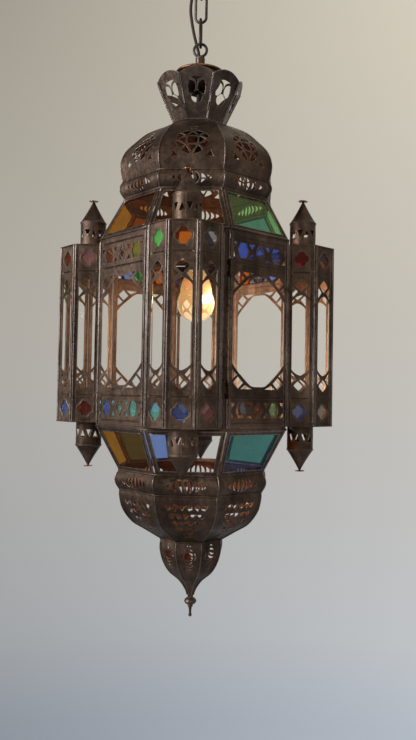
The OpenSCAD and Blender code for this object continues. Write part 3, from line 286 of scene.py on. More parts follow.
set_camera()
set_world()
MIDDLE = lantern(0, 0, 150)
LAMP_W = 1.4
for label, place, power, colour in (("window", (-2.56, -1.38, 0.2), 98, (0.95, 0.96, 1.0)),
                                    ("room", (1.4, -2.7, 0.2), 4, (1.0, 0.91, 0.80))):
    add_lamp(label + "_light", "AREA", place, power, colour, LAMP_W, MIDDLE)
BURNER = (17, -4, BULB_Z + 37)
bulb_light = add_lamp("bulb_light", "POINT", lantern(*BURNER), 6.4, (1.0, 0.58, 0.27), 0.006)


# ---- finishes

def patina(name, dark, mid, pale, rough=(0.34, 0.62), metal=0.85, wear=0.8, reach=0.0016):
    """Old sheet metal: cloudy colour, streaks, worn edges and a beaten, scratched surface."""
    made, tree, shader = finish_tree(name)
    grain = noise_of(tree, 170, 5, 0.6)
    streaks = noise_of(tree, 60, 3, 0.5, stretch=(1, 1, 0.12))
    base = ramp_of(tree, noise_of(tree, 11, 6, 0.62, distortion=0.6),
                   [(0.36, dark), (0.52, mid), (0.70, pale)])
    for amount, cloud, stops in ((0.6, grain, [(0.35, 0.30), (0.66, 0.76)]),
                                 (0.45, streaks, [(0.38, 0.26), (0.62, 0.76)])):
        base = blend_of(tree, amount, base, ramp_of(tree, cloud, stops), "OVERLAY")
    edge = ramp_of(tree, edge_of(tree, reach), [(0.015, 0.0), (0.16, 1.0)])
    patchy = ramp_of(tree, noise_of(tree, 55, 4, 0.7), [(0.34, 0.15), (0.56, 1.0)])
    worn = sum_of(tree, "MULTIPLY", sum_of(tree, "MULTIPLY", edge, patchy), wear)
    bright = tuple(min(1.0, 1.6 * c + 0.05) for c in pale)
    give(tree, shader, Base_Color=blend_of(tree, worn, base, bright), Metallic=metal,
         Roughness=ramp_of(tree, grain, [(0.30, rough[0]), (0.70, rough[1])]))
    beaten = sum_of(tree, "MULTIPLY", noise_of(tree, 85, 3, 0.5), 1.6)
    relief(tree, shader, sum_of(tree, "ADD", beaten, grain), 0.42, 0.0006)
    return made


DULL_ROWS = (lantern(-102, -102, BODY_H - 20), lantern(102, -102, 20))


def pane(name, tint, low=None, dull=None, body=0.04, wave=0.12, speck=0.84, ior=1.25):
    """Stained glass, uneven as hand-cut panes are, that lets the lamps' light through.

    A pane with a low tint turns to it below the lantern's middle, and one with a dull tint
    turns to that in the left panel's upper row and the door's lower row."""
    made, tree, shader = finish_tree(name)
    glass = ramp_of(tree, noise_of(tree, 34, 3, 0.5),
                    [(0.3, tuple(speck * c for c in tint)), (0.7, tint)])
    if low:
        height = node(tree, "ShaderNodeSeparateXYZ", place_of(tree)).outputs["Z"]
        height = sum_of(tree, "ADD", height, (CEILING - 100) * MM)
        glass = blend_of(tree, ramp_of(tree, height, [(0.0, 1.0), (0.1, 0.0)]), glass, low)
    if dull:
        away = [vector_of(tree, "DISTANCE", place_of(tree), row) for row in DULL_ROWS]
        near = sum_of(tree, "LESS_THAN", sum_of(tree, "MINIMUM", *away), 0.07)
        glass = blend_of(tree, near, glass, dull)
    give(tree, shader, Base_Color=glass, Transmission_Weight=1.0 - body, Roughness=0.02, IOR=ior)
    relief(tree, shader, noise_of(tree, 26, 2, 0.5), wave, 0.0012)
    clear_by(tree, shader, shadow_ray(tree), tint)
    return made


BRONZE = patina("bronze", (0.044, 0.0260, 0.0165), (0.084, 0.0525, 0.0355), (0.150, 0.101, 0.071))
WORN = patina("worn_bronze", (0.056, 0.037, 0.027), (0.106, 0.073, 0.054),
              (0.180, 0.133, 0.104), rough=(0.28, 0.52))
BRIGHT = patina("bright_bronze", (0.060, 0.044, 0.036), (0.128, 0.098, 0.083),
                (0.225, 0.180, 0.158), rough=(0.20, 0.40))
# Painted lamplight: the bent forms' inside faces take a bronze painted lighter and orange for the
# bulb's glow on them
BENT_INSIDE_LAMPLIT = patina("bent_inside_painted_lamplight", (0.17, 0.056, 0.019), (0.35, 0.125, 0.045), (0.54, 0.225, 0.095),
               rough=(0.42, 0.70), metal=0.6, wear=0.4)
# Painted lamplight: the other sheets' inside faces take a bronze painted lighter and warm for the
# bulb's glow on them
FLAT_INSIDE_LAMPLIT = patina("flat_inside_painted_lamplight", (0.20, 0.096, 0.046), (0.36, 0.185, 0.095), (0.52, 0.30, 0.17),
               rough=(0.42, 0.70), metal=0.4, wear=0.4)
IRON = patina("iron", (0.035, 0.029, 0.025), (0.075, 0.062, 0.053), (0.14, 0.122, 0.108),
              rough=(0.35, 0.6), reach=0.0008)
COPPER = patina("copper", (0.12, 0.048, 0.024), (0.27, 0.11, 0.055), (0.46, 0.21, 0.12),
                rough=(0.25, 0.5), reach=0.0010)
GLASS = {tint: pane("glass_" + tint, colour, **more) for tint, colour, more in (
    ("red", (0.55, 0.02, 0.012), {"body": 0.015}),
    ("amber", (0.56, 0.24, 0.03), {"body": 0.01}),
    ("green", (0.34, 0.76, 0.26), {"body": 0.02}),
    ("blue", (0.24, 0.38, 0.86), {"body": 0.015}),
    ("violet", (0.55, 0.42, 0.52), {"body": 0.015}),
    ("clear", (0.997, 0.997, 0.985), {"body": 0.0, "wave": 0.0, "speck": 0.998, "ior": 1.08}))}
JEWELS = {tint: pane("jewel_" + ("smoke" if tint == "clear" else tint), *more) for tint, *more in (
    ("red", (0.66, 0.07, 0.04), (0.36, 0.09, 0.06), (0.46, 0.19, 0.08), 0.07),
    ("amber", (0.74, 0.195, 0.02), (0.46, 0.30, 0.16)),
    ("green", (0.24, 0.88, 0.30), (0.32, 0.64, 0.60), (0.36, 0.35, 0.09), 0.14),
    ("blue", (0.29, 0.38, 0.86), (0.24, 0.36, 0.76), None, 0.08),
    ("violet", (0.64, 0.33, 0.29), None, None, 0.16),
    ("clear", (0.36, 0.34, 0.38), None, (0.40, 0.32, 0.20), 0.06))}


# ---- flat work, as in the part's source

def bow(a, b, rise, steps=6):
    """Points from a towards b on a shallow arc that stands off by rise, without b."""
    dx, dy = b[0] - a[0], b[1] - a[1]
    away = hypot(dx, dy)
    points = []
    for i in range(steps):
        t = i / steps
        k = rise * 4 * t * (1 - t) / away
        points.append((a[0] + dx * t + dy * k, a[1] + dy * t - dx * k))
    return points


def moved(loop, x, y, turn=0.0):
    c, s = cos(turn), sin(turn)
    return [(x + c * p - s * q, y + s * p + c * q) for p, q in loop]


def flipped(loop, across=False):
    return [(p, -q) for p, q in loop] if across else [(-p, q) for p, q in loop]


def diamond(w, h):
    return [(0, h / 2), (w / 2, 0), (0, -h / 2), (-w / 2, 0)]


def hollow_diamond(w, h, rise):
    top, right, foot, left = diamond(w, h)
    return (bow(top, right, rise) + bow(right, foot, rise) + bow(foot, left, rise)
            + bow(left, top, rise))


def lens(h, out, inward):
    return bow((0, h / 2), (0, -h / 2), out) + bow((0, -h / 2), (0, h / 2), inward)


def round_trip(loop):
    """Each point of a loop with the next one."""
    return zip(loop, loop[1:] + loop[:1])


def anticlockwise(loop):
    area = sum(a[0] * b[1] - b[0] * a[1] for a, b in round_trip(loop))
    return list(loop) if area > 0 else list(loop)[::-1]


def stations(a, b, parts):
    """Points from a towards b, without b."""
    return [tuple(p + (q - p) * i / parts for p, q in zip(a, b)) for i in range(parts)]


def closer(loop, pitch):
    """The loop with no two points further apart than the pitch."""
    return [p for a, b in round_trip(loop)
            for p in stations(a, b, max(1, ceil(dist(a, b) / pitch)))]


def inset(loop, depth):
    """An anticlockwise loop moved inwards."""
    inner = []
    for i, here in enumerate(loop):
        before, after = loop[i - 1], loop[(i + 1) % len(loop)]
        ux, uy, vx, vy = (b[k] - a[k] for a, b in ((before, here), (here, after)) for k in (0, 1))
        lu, lv = hypot(ux, uy), hypot(vx, vy)
        nx, ny, mx, my = -uy / lu, ux / lu, -vy / lv, vx / lv
        k = depth / max(0.35, 1 + nx * mx + ny * my)
        inner.append((here[0] + (nx + mx) * k, here[1] + (ny + my) * k))
    return inner


def inside(point, loop):
    x, y = point
    crossed = [(ay > y) != (by > y) and x < ax + (y - ay) * (bx - ax) / (by - ay)
               for (ax, ay), (bx, by) in round_trip(loop)]
    return sum(crossed) % 2 == 1


def in_sheet(point, rings):
    """Inside the first ring and outside the others."""
    return inside(point, rings[0]) and not any(inside(point, hole) for hole in rings[1:])


FACE, BACK, EDGE = 0, 1, 2


def kept_triangles(coords, lines, tris, line_origins, walls, rings):
    """The triangles that lie in the sheet. The first input lines are the rings, and each
    patch between them is tried once, at its largest triangle."""
    border = {frozenset(line) for line, sources in zip(lines, line_origins)
              if any(s < walls for s in sources)}
    beside = {}
    for t, tri in enumerate(tris):
        for pair in round_trip(tri):
            beside.setdefault(frozenset(pair), []).append(t)

    def size(t):
        a, b, c = (coords[k] for k in tris[t])
        return abs((b - a).cross(c - a))

    seen, kept = set(), []
    for start in range(len(tris)):
        if start in seen:
            continue
        patch, queue = [], [start]
        seen.add(start)
        while queue:
            t = queue.pop()
            patch.append(t)
            sides = [frozenset(pair) for pair in round_trip(tris[t])]
            for other in [o for side in sides if side not in border for o in beside[side]]:
                if other not in seen:
                    seen.add(other)
                    queue.append(other)
        big = tris[max(patch, key=size)]
        if in_sheet(tuple(sum(coords[k][i] for k in big) / 3 for i in (0, 1)), rings):
            kept += [tris[t] for t in patch]
    return kept


def fill_points(rings, pitch, taken):
    """Staggered points inside a sheet, away from the points that are taken."""
    cells = {}
    for point in taken:
        cells.setdefault((point[0] // pitch, point[1] // pitch), []).append(point)
    xs, ys = zip(*[p for ring in rings for p in ring])
    points, row, y = [], 0, min(ys) + pitch / 2
    while y < max(ys):
        x = min(xs) + pitch / 2 + (pitch / 2 if row % 2 else 0)
        while x < max(xs):
            across, up = x // pitch, y // pitch
            near = any(dist((x, y), p) < 0.62 * pitch for i in (-1, 0, 1)
                       for j in (-1, 0, 1) for p in cells.get((across + i, up + j), ()))
            if not near and in_sheet((x, y), rings):
                points.append((x, y))
            x += pitch
        y += pitch * 0.87
        row += 1
    return points


def crease_lines(crease, pitch):
    """The three lines of a pressed line, each with its depth: its edges and its middle."""
    points, closed, half, depth = crease
    if closed:
        loop = closer(anticlockwise(points), pitch)
        return [(inset(loop, shift), dip)
                for shift, dip in ((half, 0.0), (0.0, depth), (-half, 0.0))]
    a, b = points
    away = dist(a, b)
    nx, ny = (a[1] - b[1]) / away * half, (b[0] - a[0]) / away * half
    line = stations(a, b, max(1, ceil(away / pitch))) + [b]
    return [([(x + nx * side, y + ny * side) for x, y in line], dip)
            for side, dip in ((1, 0.0), (0, depth), (-1, 0.0))]


def sheet(outline, holes=(), thick=SHEET, chamfer=0.22, pitch=7.0, creases=()):
    """A pierced sheet with its face at z = 0 and its back at -thick: vertices, faces and a
    mark for each face. A crease is (points, closed, half width, depth) of a pressed line."""
    loops = [closer(anticlockwise(loop), pitch) for loop in (outline, *holes)]
    rings = [inset(loop, -chamfer if i else chamfer) for i, loop in enumerate(loops)]
    lines = [(ring, True, 0.0) for ring in rings]
    lines += [(line, crease[1], dip) for crease in creases
              for line, dip in crease_lines(crease, pitch)]
    flat, edges, dips = [], [], []
    for points, closed, dip in lines:
        start, count = len(flat), len(points)
        flat += points
        dips += [dip] * count
        edges += [(start + i, start + (i + 1) % count)
                  for i in range(count if closed else count - 1)]
    border = sum(len(ring) for ring in rings)
    flat += fill_points(rings, pitch, flat)
    dips += [0.0] * (len(flat) - len(dips))
    coords, lines, tris, origins, line_origins = delaunay_2d_cdt(
        [Vector(p) for p in flat], edges, [], 0, 1e-5, True)[:5]
    tris = kept_triangles(coords, lines, tris, line_origins, border, rings)
    home = {source: k for k, sources in enumerate(origins) for source in sources}
    depth_at = [max([dips[s] for s in sources], default=0.0) for sources in origins]
    used = sorted({k for tri in tris for k in tri} | {home[i] for i in range(border)})
    new = {k: i for i, k in enumerate(used)}
    n = len(used)
    verts = [(*coords[k], -depth_at[k] - back) for back in (0, thick) for k in used]
    faces, marks = [], []
    for tri in tris:
        faces += [tuple(new[k] for k in tri), tuple(n + new[k] for k in reversed(tri))]
        marks += [FACE, BACK]
    start = 0
    for loop in loops:
        base, count = len(verts), len(loop)
        verts += [(x, y, z) for z in (-chamfer, chamfer - thick) for x, y in loop]
        for i in range(count):
            j = (i + 1) % count
            a, b = new[home[start + i]], new[home[start + j]]
            p, q, r, s = base + i, base + j, base + count + i, base + count + j
            faces += [(a, p, q, b), (p, r, s, q), (r, n + a, n + b, s)]
            marks += [EDGE, FACE, BACK]
        start += count
    return verts, faces, marks


def plate(x0, y0, x1, y1):
    """A rectangle's outline."""
    return [(x0, y0), (x1, y0), (x1, y1), (x0, y1)]


def ring_at(r, z, steps):
    """Points round the upright axis, from a radius and height."""
    return [(r * cos(2 * pi * k / steps), r * sin(2 * pi * k / steps), z) for k in range(steps)]


def skin(rows, closed=False):
    """Rings of points joined by faces; a ring may be a single point on the axis."""
    verts, rings, faces = [], [], []
    for row in rows:
        rings.append(range(len(verts), len(verts) + len(row)))
        verts += row
    for a, b in list(zip(rings, rings[1:])) + ([(rings[-1], rings[0])] if closed else []):
        steps = max(len(a), len(b))
        for k in range(steps if steps > 1 else 0):
            m = (k + 1) % steps
            if len(a) == 1:
                faces.append((a[0], b[k], b[m]))
            elif len(b) == 1:
                faces.append((a[k], a[m], b[0]))
            else:
                faces.append((a[k], a[m], b[m], b[k]))
    return verts, faces, [FACE] * len(faces)


def lathe(profile, steps=48, closed=False):
    """A profile of (radius, height) turned round the upright axis, its ends on the axis or
    the profile closed."""
    return skin([ring_at(r, z, steps) if r >= 1e-6 else [(0.0, 0.0, z)] for r, z in profile],
                closed)


def mend(mesh, gap=None, sharp=None):
    """Turns faces outwards, and where asked merges close points and smooths up to an angle."""
    work = bmesh.new()
    work.from_mesh(mesh)
    if gap:
        bmesh.ops.remove_doubles(work, verts=work.verts, dist=gap)
    bmesh.ops.recalc_face_normals(work, faces=work.faces)
    work.to_mesh(mesh)
    work.free()
    if sharp:
        mesh.shade_smooth()
        mesh.set_sharp_from_angle(angle=radians(sharp))
    return mesh


class Work:
    """Gathers the shapes of one piece, in the lantern's millimetres."""

    def __init__(self, shape=None, place=None):
        self.verts, self.faces, self.marks = [], [], []
        if shape:
            self.add(shape, place)

    def add(self, shape, place=None):
        """Adds a shape, or another piece's work, moved by a place."""
        if isinstance(shape, Work):
            shape = shape.verts, shape.faces, shape.marks
        verts, faces, marks = shape
        base = len(self.verts)
        self.verts += [place(*v) for v in verts] if place else list(verts)
        self.faces += [tuple(base + k for k in face) for face in faces]
        self.marks += marks
        return self

    def mesh(self, name):
        mesh = bpy.data.meshes.new(name)
        mesh.from_pydata([lantern(*v) for v in self.verts], [], self.faces)
        mend(mesh)
        for label, mark in (("inner", BACK), ("edge", EDGE)):
            layer = mesh.attributes.new(label, "BOOLEAN", "FACE")
            layer.data.foreach_set("value", [m == mark for m in self.marks])
        return mesh


def side_place(turn, reach, foot):
    """Stands flat work on the side at a turn, its face at the distance reach."""
    c, s = cos(radians(turn)), sin(radians(turn))
    return lambda x, y, z: (c * x + s * (reach + z), s * x - c * (reach + z), foot + y)


def leaning(lo, hi, taper=0):
    """Leans flat work from a foot to a head, each a side's distance and height."""
    lean = atan2(lo[0] - hi[0], hi[1] - lo[1])
    c, s = cos(lean), sin(lean)
    return lambda x, y, z: (x * (1 + taper * z * c / lo[0]), -(lo[0] - y * s + z * c),
                            lo[1] + y * c + z * s)


def about(turn, y):
    """Moves a shape out by y and round by a turn."""
    c, s = cos(radians(turn)), sin(radians(turn))
    return lambda px, py, pz: (c * px - s * (py - y), s * px + c * (py - y), pz)


# ---- bent sheets

def smooth(points, steps=8):
    """A smooth line through points."""
    knot = lambda i: points[max(0, min(len(points) - 1, i))]
    line = []
    for i in range(len(points) - 1):
        a, b, c, d = knot(i - 1), knot(i), knot(i + 1), knot(i + 2)
        for j in range(steps):
            t = j / steps
            line.append(tuple(
                q + (r - p) / 2 * t + (2 * p - 5 * q + 4 * r - s) / 2 * t * t
                + (3 * q - p - 3 * r + s) / 2 * t ** 3 for p, q, r, s in zip(a, b, c, d)))
    return line + [points[-1]]


def profile(shares, wide, narrow, foot, tall):
    return smooth([((narrow + s * (wide - narrow)) * COS_HALF, foot + t * tall)
                   for s, t in shares])


def round_band(r0, r1, foot, tall, steps=16):
    return [((r0 + (r1 - r0) * i / steps + BULGE * sin(pi * i / steps)) * COS_HALF,
             foot + tall * i / steps) for i in range(steps + 1)]


class Bend:
    """A profile that flat work is bent to; its points are (distance of the side, height)."""

    def __init__(self, line):
        self.line, self.at, self.out = line, [0.0], []
        for a, b in zip(line, line[1:]):
            self.at.append(self.at[-1] + dist(a, b))
        self.length = self.at[-1]
        for i in range(len(line)):
            a, b = line[max(0, i - 1)], line[min(len(line) - 1, i + 1)]
            away = dist(a, b)
            self.out.append(((b[1] - a[1]) / away, (a[0] - b[0]) / away))

    def spot(self, s):
        """The point at a length along the profile, and the way out of it."""
        s = min(max(s, 0.0), self.length)
        i = max(k for k in range(len(self.line) - 1) if self.at[k] <= s or k == 0)
        t = (s - self.at[i]) / (self.at[i + 1] - self.at[i])
        return [tuple(p + (q - p) * t for p, q in zip(row[i], row[i + 1]))
                for row in (self.line, self.out)]

    def place(self, x, s, z):
        (a, h), (na, nh) = self.spot(s)
        return x * (a + z * na) / a, -(a + z * na), h + z * nh

    def gore(self, holes, share, pitch=3.6):
        """One side of the bent form, pierced round a share of its length."""
        steps = max(2, round(self.length / 3))
        right = [(self.spot(s)[0][0] * TAN_HALF - SEAM / 2, s)
                 for s in [self.length * i / steps for i in range(steps + 1)]]
        pierced = [moved(h, 0, self.length * share) for h in holes]
        return Work(sheet(right + flipped(right)[::-1], pierced, pitch=pitch), self.place)

    def corner(self, lift):
        """The line where two sides meet, on the right of the front side."""
        points = []
        for (a, h), (na, nh) in zip(self.line, self.out):
            r = (a + lift * na) / COS_HALF
            points.append((r * sin(HALF), -r * COS_HALF, h + lift * nh))
        return points


DOME = Bend(profile(DOME_SHARES, DOME_R, WAIST_R, DOME_Z + SEAM, DOME_H - SEAM))
DOME_FOOT_R = WAIST_R + DOME_SHARES[0][0] * (DOME_R - WAIST_R)
SKIRT = Bend(round_band(ROOF_R, DOME_FOOT_R, ROOF_Z + SEAM, SKIRT_H - SEAM))
BAND = Bend(round_band(BOWL_R, HOOD_R, BOWL_Z, BAND_DROP - SEAM))
BOWL = Bend(profile(BOWL_SHARES, BOWL_R, THROAT_R, THROAT_Z, BOWL_H - SEAM))
ONION = Bend(profile(ONION_SHARES, DROP_R, TIP_R, TIP_Z, ONION_H - SEAM))


# ---- node trees

def new_tree(name, sockets):
    """A geometry tree with named inputs: (name, socket type, value)."""
    tree = bpy.data.node_groups.new(name, "GeometryNodeTree")
    tree.interface.new_socket("Geometry", in_out="INPUT", socket_type="NodeSocketGeometry")
    for label, kind, value in sockets:
        made = tree.interface.new_socket(label, in_out="INPUT", socket_type="NodeSocket" + kind)
        if value is not None:
            made.default_value = value
    tree.interface.new_socket("Geometry", in_out="OUTPUT", socket_type="NodeSocketGeometry")
    return tree, node(tree, "NodeGroupInput").outputs, node(tree, "NodeGroupOutput")


def uneven(tree, shape, amount, **cloud):
    """The shape with its points moved by a cloud, up to half the amount each way."""
    noise = tree.nodes.new("ShaderNodeTexNoise")
    noise.noise_dimensions = "4D" if "W" in cloud else "3D"
    give(tree, noise, **cloud)
    off = vector_of(tree, "SUBTRACT", noise.outputs["Color"], (0.5, 0.5, 0.5))
    return node(tree, "GeometryNodeSetPosition", shape,
                Offset=vector_of(tree, "SCALE", off, Scale=amount)).outputs[0]


def copies_tree():
    """Sheets repeated round the upright axis, a little uneven, in three finishes."""
    tree, given, out = new_tree("copies_round_axis", [
        ("Count", "Int", SIDES), ("First turn", "Float", 0.0), ("Turn between", "Float", STEP),
        ("Unevenness", "Float", 0.0006), ("Seed", "Float", 1.0), ("Face finish", "Material", None),
        ("Back finish", "Material", None), ("Edge finish", "Material", None)])
    index = node(tree, "GeometryNodeInputIndex").outputs[0]
    turn = sum_of(tree, "MULTIPLY_ADD", index, given["Turn between"], given["First turn"])
    turn = node(tree, "ShaderNodeCombineXYZ", Z=turn).outputs[0]
    turn = node(tree, "FunctionNodeEulerToRotation", turn).outputs[0]
    points = node(tree, "GeometryNodePoints", Count=given["Count"]).outputs[0]
    copies = node(tree, "GeometryNodeInstanceOnPoints", points, Instance=given["Geometry"],
                  Rotation=turn).outputs[0]
    shape = node(tree, "GeometryNodeRealizeInstances", copies).outputs[0]
    shape = uneven(tree, shape, given["Unevenness"], W=given["Seed"], Scale=22, Detail=1.5)
    for part, label in (("Face", None), ("Back", "inner"), ("Edge", "edge")):
        paint = node(tree, "GeometryNodeSetMaterial", shape, Material=given[part + " finish"])
        if label:
            mark = tree.nodes.new("GeometryNodeInputNamedAttribute")
            mark.data_type = "BOOLEAN"
            give(tree, mark, label)
            give(tree, paint, Selection=mark.outputs["Attribute"])
        shape = paint.outputs[0]
    give(tree, out, shape)
    return tree


def wire_tree():
    """A round wire or bead along each line of a mesh of edges."""
    tree, given, out = new_tree("wire_along_path", [
        ("Wire radius", "Float", 0.001), ("Sides", "Int", 10), ("Wobble", "Float", 0.0),
        ("Finish", "Material", None)])
    curve = node(tree, "GeometryNodeMeshToCurve", given["Geometry"]).outputs[0]
    ring = node(tree, "GeometryNodeCurvePrimitiveCircle", Resolution=given["Sides"],
                Radius=given["Wire radius"]).outputs[0]
    tube = node(tree, "GeometryNodeCurveToMesh", Curve=curve, Profile_Curve=ring,
                Fill_Caps=True).outputs[0]
    shape = uneven(tree, tube, given["Wobble"], Scale=90, Detail=2)
    shape = node(tree, "GeometryNodeRealizeInstances", shape).outputs[0]
    paint = node(tree, "GeometryNodeSetMaterial", shape, Material=given["Finish"])
    give(tree, out, paint.outputs[0])
    return tree


COPIES, WIRE = copies_tree(), wire_tree()
MERGE_GAP, ROUND = 2e-6, 60


def grow(mesh, tree, name, place=None, sharp=32, **values):
    """The plain mesh that a tree makes of a mesh, as a new object with clean normals."""
    source = show(name, mesh)
    modifier = source.modifiers.new("grow", "NODES")
    modifier.node_group = tree
    sockets = {s.name: s.identifier for s in tree.interface.items_tree
               if s.item_type == "SOCKET" and s.in_out == "INPUT"}
    for label, value in values.items():
        modifier[sockets[label.replace("_", " ")]] = value
    ready = source.evaluated_get(bpy.context.evaluated_depsgraph_get())
    made = bpy.data.meshes.new_from_object(ready)
    source.modifiers.remove(modifier)
    source.data = made
    bpy.data.meshes.remove(mesh)
    made.name = name
    if place is not None:
        made.transform(place)
    mend(made, MERGE_GAP, sharp)
    return source


def sheets(work, name, count=1, first=0.0, uneven=0.6, seed=1.0, face=BRONZE, back=FLAT_INSIDE_LAMPLIT,
           edge=WORN, place=None, sharp=32):
    """A piece of sheet metal, repeated round the axis; its back faces default to the bronze painted
    with lamplight.
    """
    return grow(work.mesh(name), COPIES, name, place, sharp, Count=count, First_turn=first,
                Unevenness=uneven * MM, Seed=seed, Face_finish=face, Back_finish=back,
                Edge_finish=edge)


def solid(work, name, finish, sharp=32, uneven=0.0):
    """A piece in one finish."""
    return sheets(work, name, uneven=uneven, face=finish, back=finish, edge=finish, sharp=sharp)


def path_mesh(lines, name):
    """Lines of points as edges; a line that ends where it starts is closed."""
    verts, edges = [], []
    for line in lines:
        closed = len(line) > 2 and dist(line[0], line[-1]) < 1e-6
        points = line[:-1] if closed else line
        start = len(verts)
        verts += [lantern(*p) for p in points]
        edges += [(start + i, start + i + 1) for i in range(len(points) - 1)]
        if closed:
            edges.append((len(verts) - 1, start))
    mesh = bpy.data.meshes.new(name)
    mesh.from_pydata(verts, edges, [])
    return mesh


def wires(lines, name, radius, finish, sides=10, wobble=0.0, place=None):
    return grow(path_mesh(lines, name), WIRE, name, place, ROUND, Wire_radius=radius * MM,
                Sides=sides, Wobble=wobble * MM, Finish=finish)


def joined(name, *objects):
    """Several pieces as one, with their finishes kept."""
    slots = []
    whole = bmesh.new()
    for piece in objects:
        for finish in piece.data.materials:
            if finish not in slots:
                slots.append(finish)
        shift = [slots.index(finish) for finish in piece.data.materials]
        for polygon in piece.data.polygons:
            polygon.material_index = shift[polygon.material_index]
        whole.from_mesh(piece.data)
    mesh = bpy.data.meshes.new(name)
    whole.to_mesh(mesh)
    whole.free()
    for finish in slots:
        mesh.materials.append(finish)
    for old in objects:
        data = old.data
        bpy.data.objects.remove(old)
        bpy.data.meshes.remove(data)
    return show(name, mesh)


def hang(piece, slot, *nodes, body="lantern"):
    """The piece stands for CAD nodes and rides on a body; the slot is not used."""
    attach(piece, body)
    if nodes:
        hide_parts(*nodes)
    return piece


# Sides and wobble of a wire
RIDGE, ROD = (8, 0.25), (16, 0.3)


def bead(lines, name, radius=BEAD_R, sides=10, wobble=0.3, body="lantern", place=None):
    """Bright beads or ridges over a seam."""
    hang(wires(lines, name, radius, BRIGHT, sides, wobble, place), "worn_bronze", body=body)


def all_corners(line):
    """A corner's line on all eight corners."""
    return [[(x * cos(k * STEP) - y * sin(k * STEP),
              x * sin(k * STEP) + y * cos(k * STEP), z) for x, y, z in line]
            for k in range(SIDES)]


# ---- the lamp's cord

CORD_ROUTE = [(-16, 6, -47.3), (-16.5, 6, -56), (-17.5, 6, -66), (-17.5, 6, -77),
              (-16, 6.5, -89), (-14, 7, -101), (-11.5, 7.5, -113), (-8.5, 8.2, -125),
              (-5.5, 9, -136), (-3.6, 9.5, -143), (-3, 9.5, -148.7)]
CORD_R = 2.5


def cord_piece():
    """The lamp's cord: a tube whose map runs round it and along it, for the braid."""
    path = [Vector(p) * MM for p in smooth(CORD_ROUTE, 6)]
    last, around, along, rings, maps = len(path) - 1, 16, 0.0, [], []
    for i, point in enumerate(path):
        ahead = (path[min(i + 1, last)] - path[max(i - 1, 0)]).normalized()
        u = ahead.cross(Vector((1, 0, 0))).normalized()
        v = ahead.cross(u)
        rings.append([point + (u * a + v * b) * CORD_R * MM for a, b, _ in ring_at(1, 0, around)])
        if i:
            along += (point - path[i - 1]).length
            for k in range(around):
                maps += [(k, i - 1), (k + 1, i - 1), (k + 1, i), (k, i)]
    verts, faces, _ = skin(rings)
    for i in (0, last):
        faces.append(tuple(i * around + k for k in range(around)))
        maps += [(k, i) for k in range(around)]
    mesh = bpy.data.meshes.new("cord")
    mesh.from_pydata(verts, [], faces)
    for loop, (k, i) in zip(mesh.uv_layers.new(name="braid").data, maps):
        loop.uv = (k / around, i / last * along)
    return show("cord", mend(mesh, sharp=50)), path, along


def braid_finish():
    """A brown cotton braid in a fine diagonal pattern on the cord's own map."""
    made, tree, shader = finish_tree("cord_braid")
    uv = node(tree, "ShaderNodeUVMap")
    uv.uv_map = "braid"
    waves = []
    for slope in (1, -1):
        place = node(tree, "ShaderNodeMapping", uv.outputs[0], Scale=(8, 520 * slope, 1)).outputs[0]
        wave = node(tree, "ShaderNodeTexWave", place, Scale=0.32)
        wave.bands_direction = "DIAGONAL"
        waves.append(wave.outputs["Fac"])
    weave = sum_of(tree, "MULTIPLY", *waves)
    give(tree, shader, Roughness=0.85, Base_Color=ramp_of(
        tree, weave, [(0.0, (0.030, 0.018, 0.011)), (0.5, (0.085, 0.052, 0.032))]))
    relief(tree, shader, weave, 0.7, 0.0004)
    return made


cord, cord_path, cord_length = cord_piece()
cord.data.materials.append(braid_finish())
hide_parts("lamp_cord")
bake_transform(cord)
tuple(cord_path[-1])
[tuple(p) for p in cord_path[::-1]]


# ---- dome, bands, bowl and drop

ROSETTE_R = 25.0


def square_hole(half, rise):
    """A square with bowed sides."""
    ring = [(-half, half), (half, half), (half, -half), (-half, -half)]
    return [p for a, b in round_trip(ring) for p in bow(a, b, rise)]


def quarters(shape):
    """A hole on each of the four sides."""
    return [moved(shape, 0, 0, k * pi / 2) for k in range(4)]


def rosette():
    """A square, a wedge on each of its sides, a ring of eight outer wedges and cuts round them."""
    r = ROSETTE_R

    def wedge(points, rises):
        ring = [(x * r, y * r) for x, y in points]
        return [p for (a, b), rise in zip(round_trip(ring), rises) for p in bow(a, b, rise * r)]

    outer = wedge([(0.46, 0.38), (0.98, 0.09), (0.77, 0.61)], (0.02, 0.035, 0.02))
    holes = [square_hole(0.26 * r, -0.26 * r / 6)]
    holes += quarters(wedge([(0.40, -0.25), (0.80, 0), (0.40, 0.25)], (0.03, 0.03, 0)))
    holes += quarters(outer) + quarters([(y, x) for x, y in outer])
    holes += [moved(diamond(wide * r, r / 8), 0, y * r) for wide, y in ((0.38, 1.15), (0.5, 1.42))]
    low = [(x * r, y * r) for x, y in ((0.80, -1.08), (1.26, -1.14), (1.12, -0.76))]
    return holes + [low, flipped(low)]


def slot_row(h, count=7, pitch=8.8):
    """Upright bowed slots, the middle one straight, the others curved round it."""
    holes = []
    for i in range(count):
        k = i - (count - 1) / 2
        m = (k > 0) - (k < 0)
        near, far = (-0.1 * pitch, 0.72 * pitch) if m else (0.32 * pitch, 0.32 * pitch)
        tall = h * cos(radians(90 * abs(k) / (count / 2 + 0.5)))
        slot = lens(tall, near, far) if m >= 0 else lens(tall, far, near)
        holes.append(moved(slot, (k - m * 0.4) * pitch, 0))
    return holes


KITE = [(0, 4.6), (4.4, 1.6), (0, -5.8), (-4.4, 1.6)]


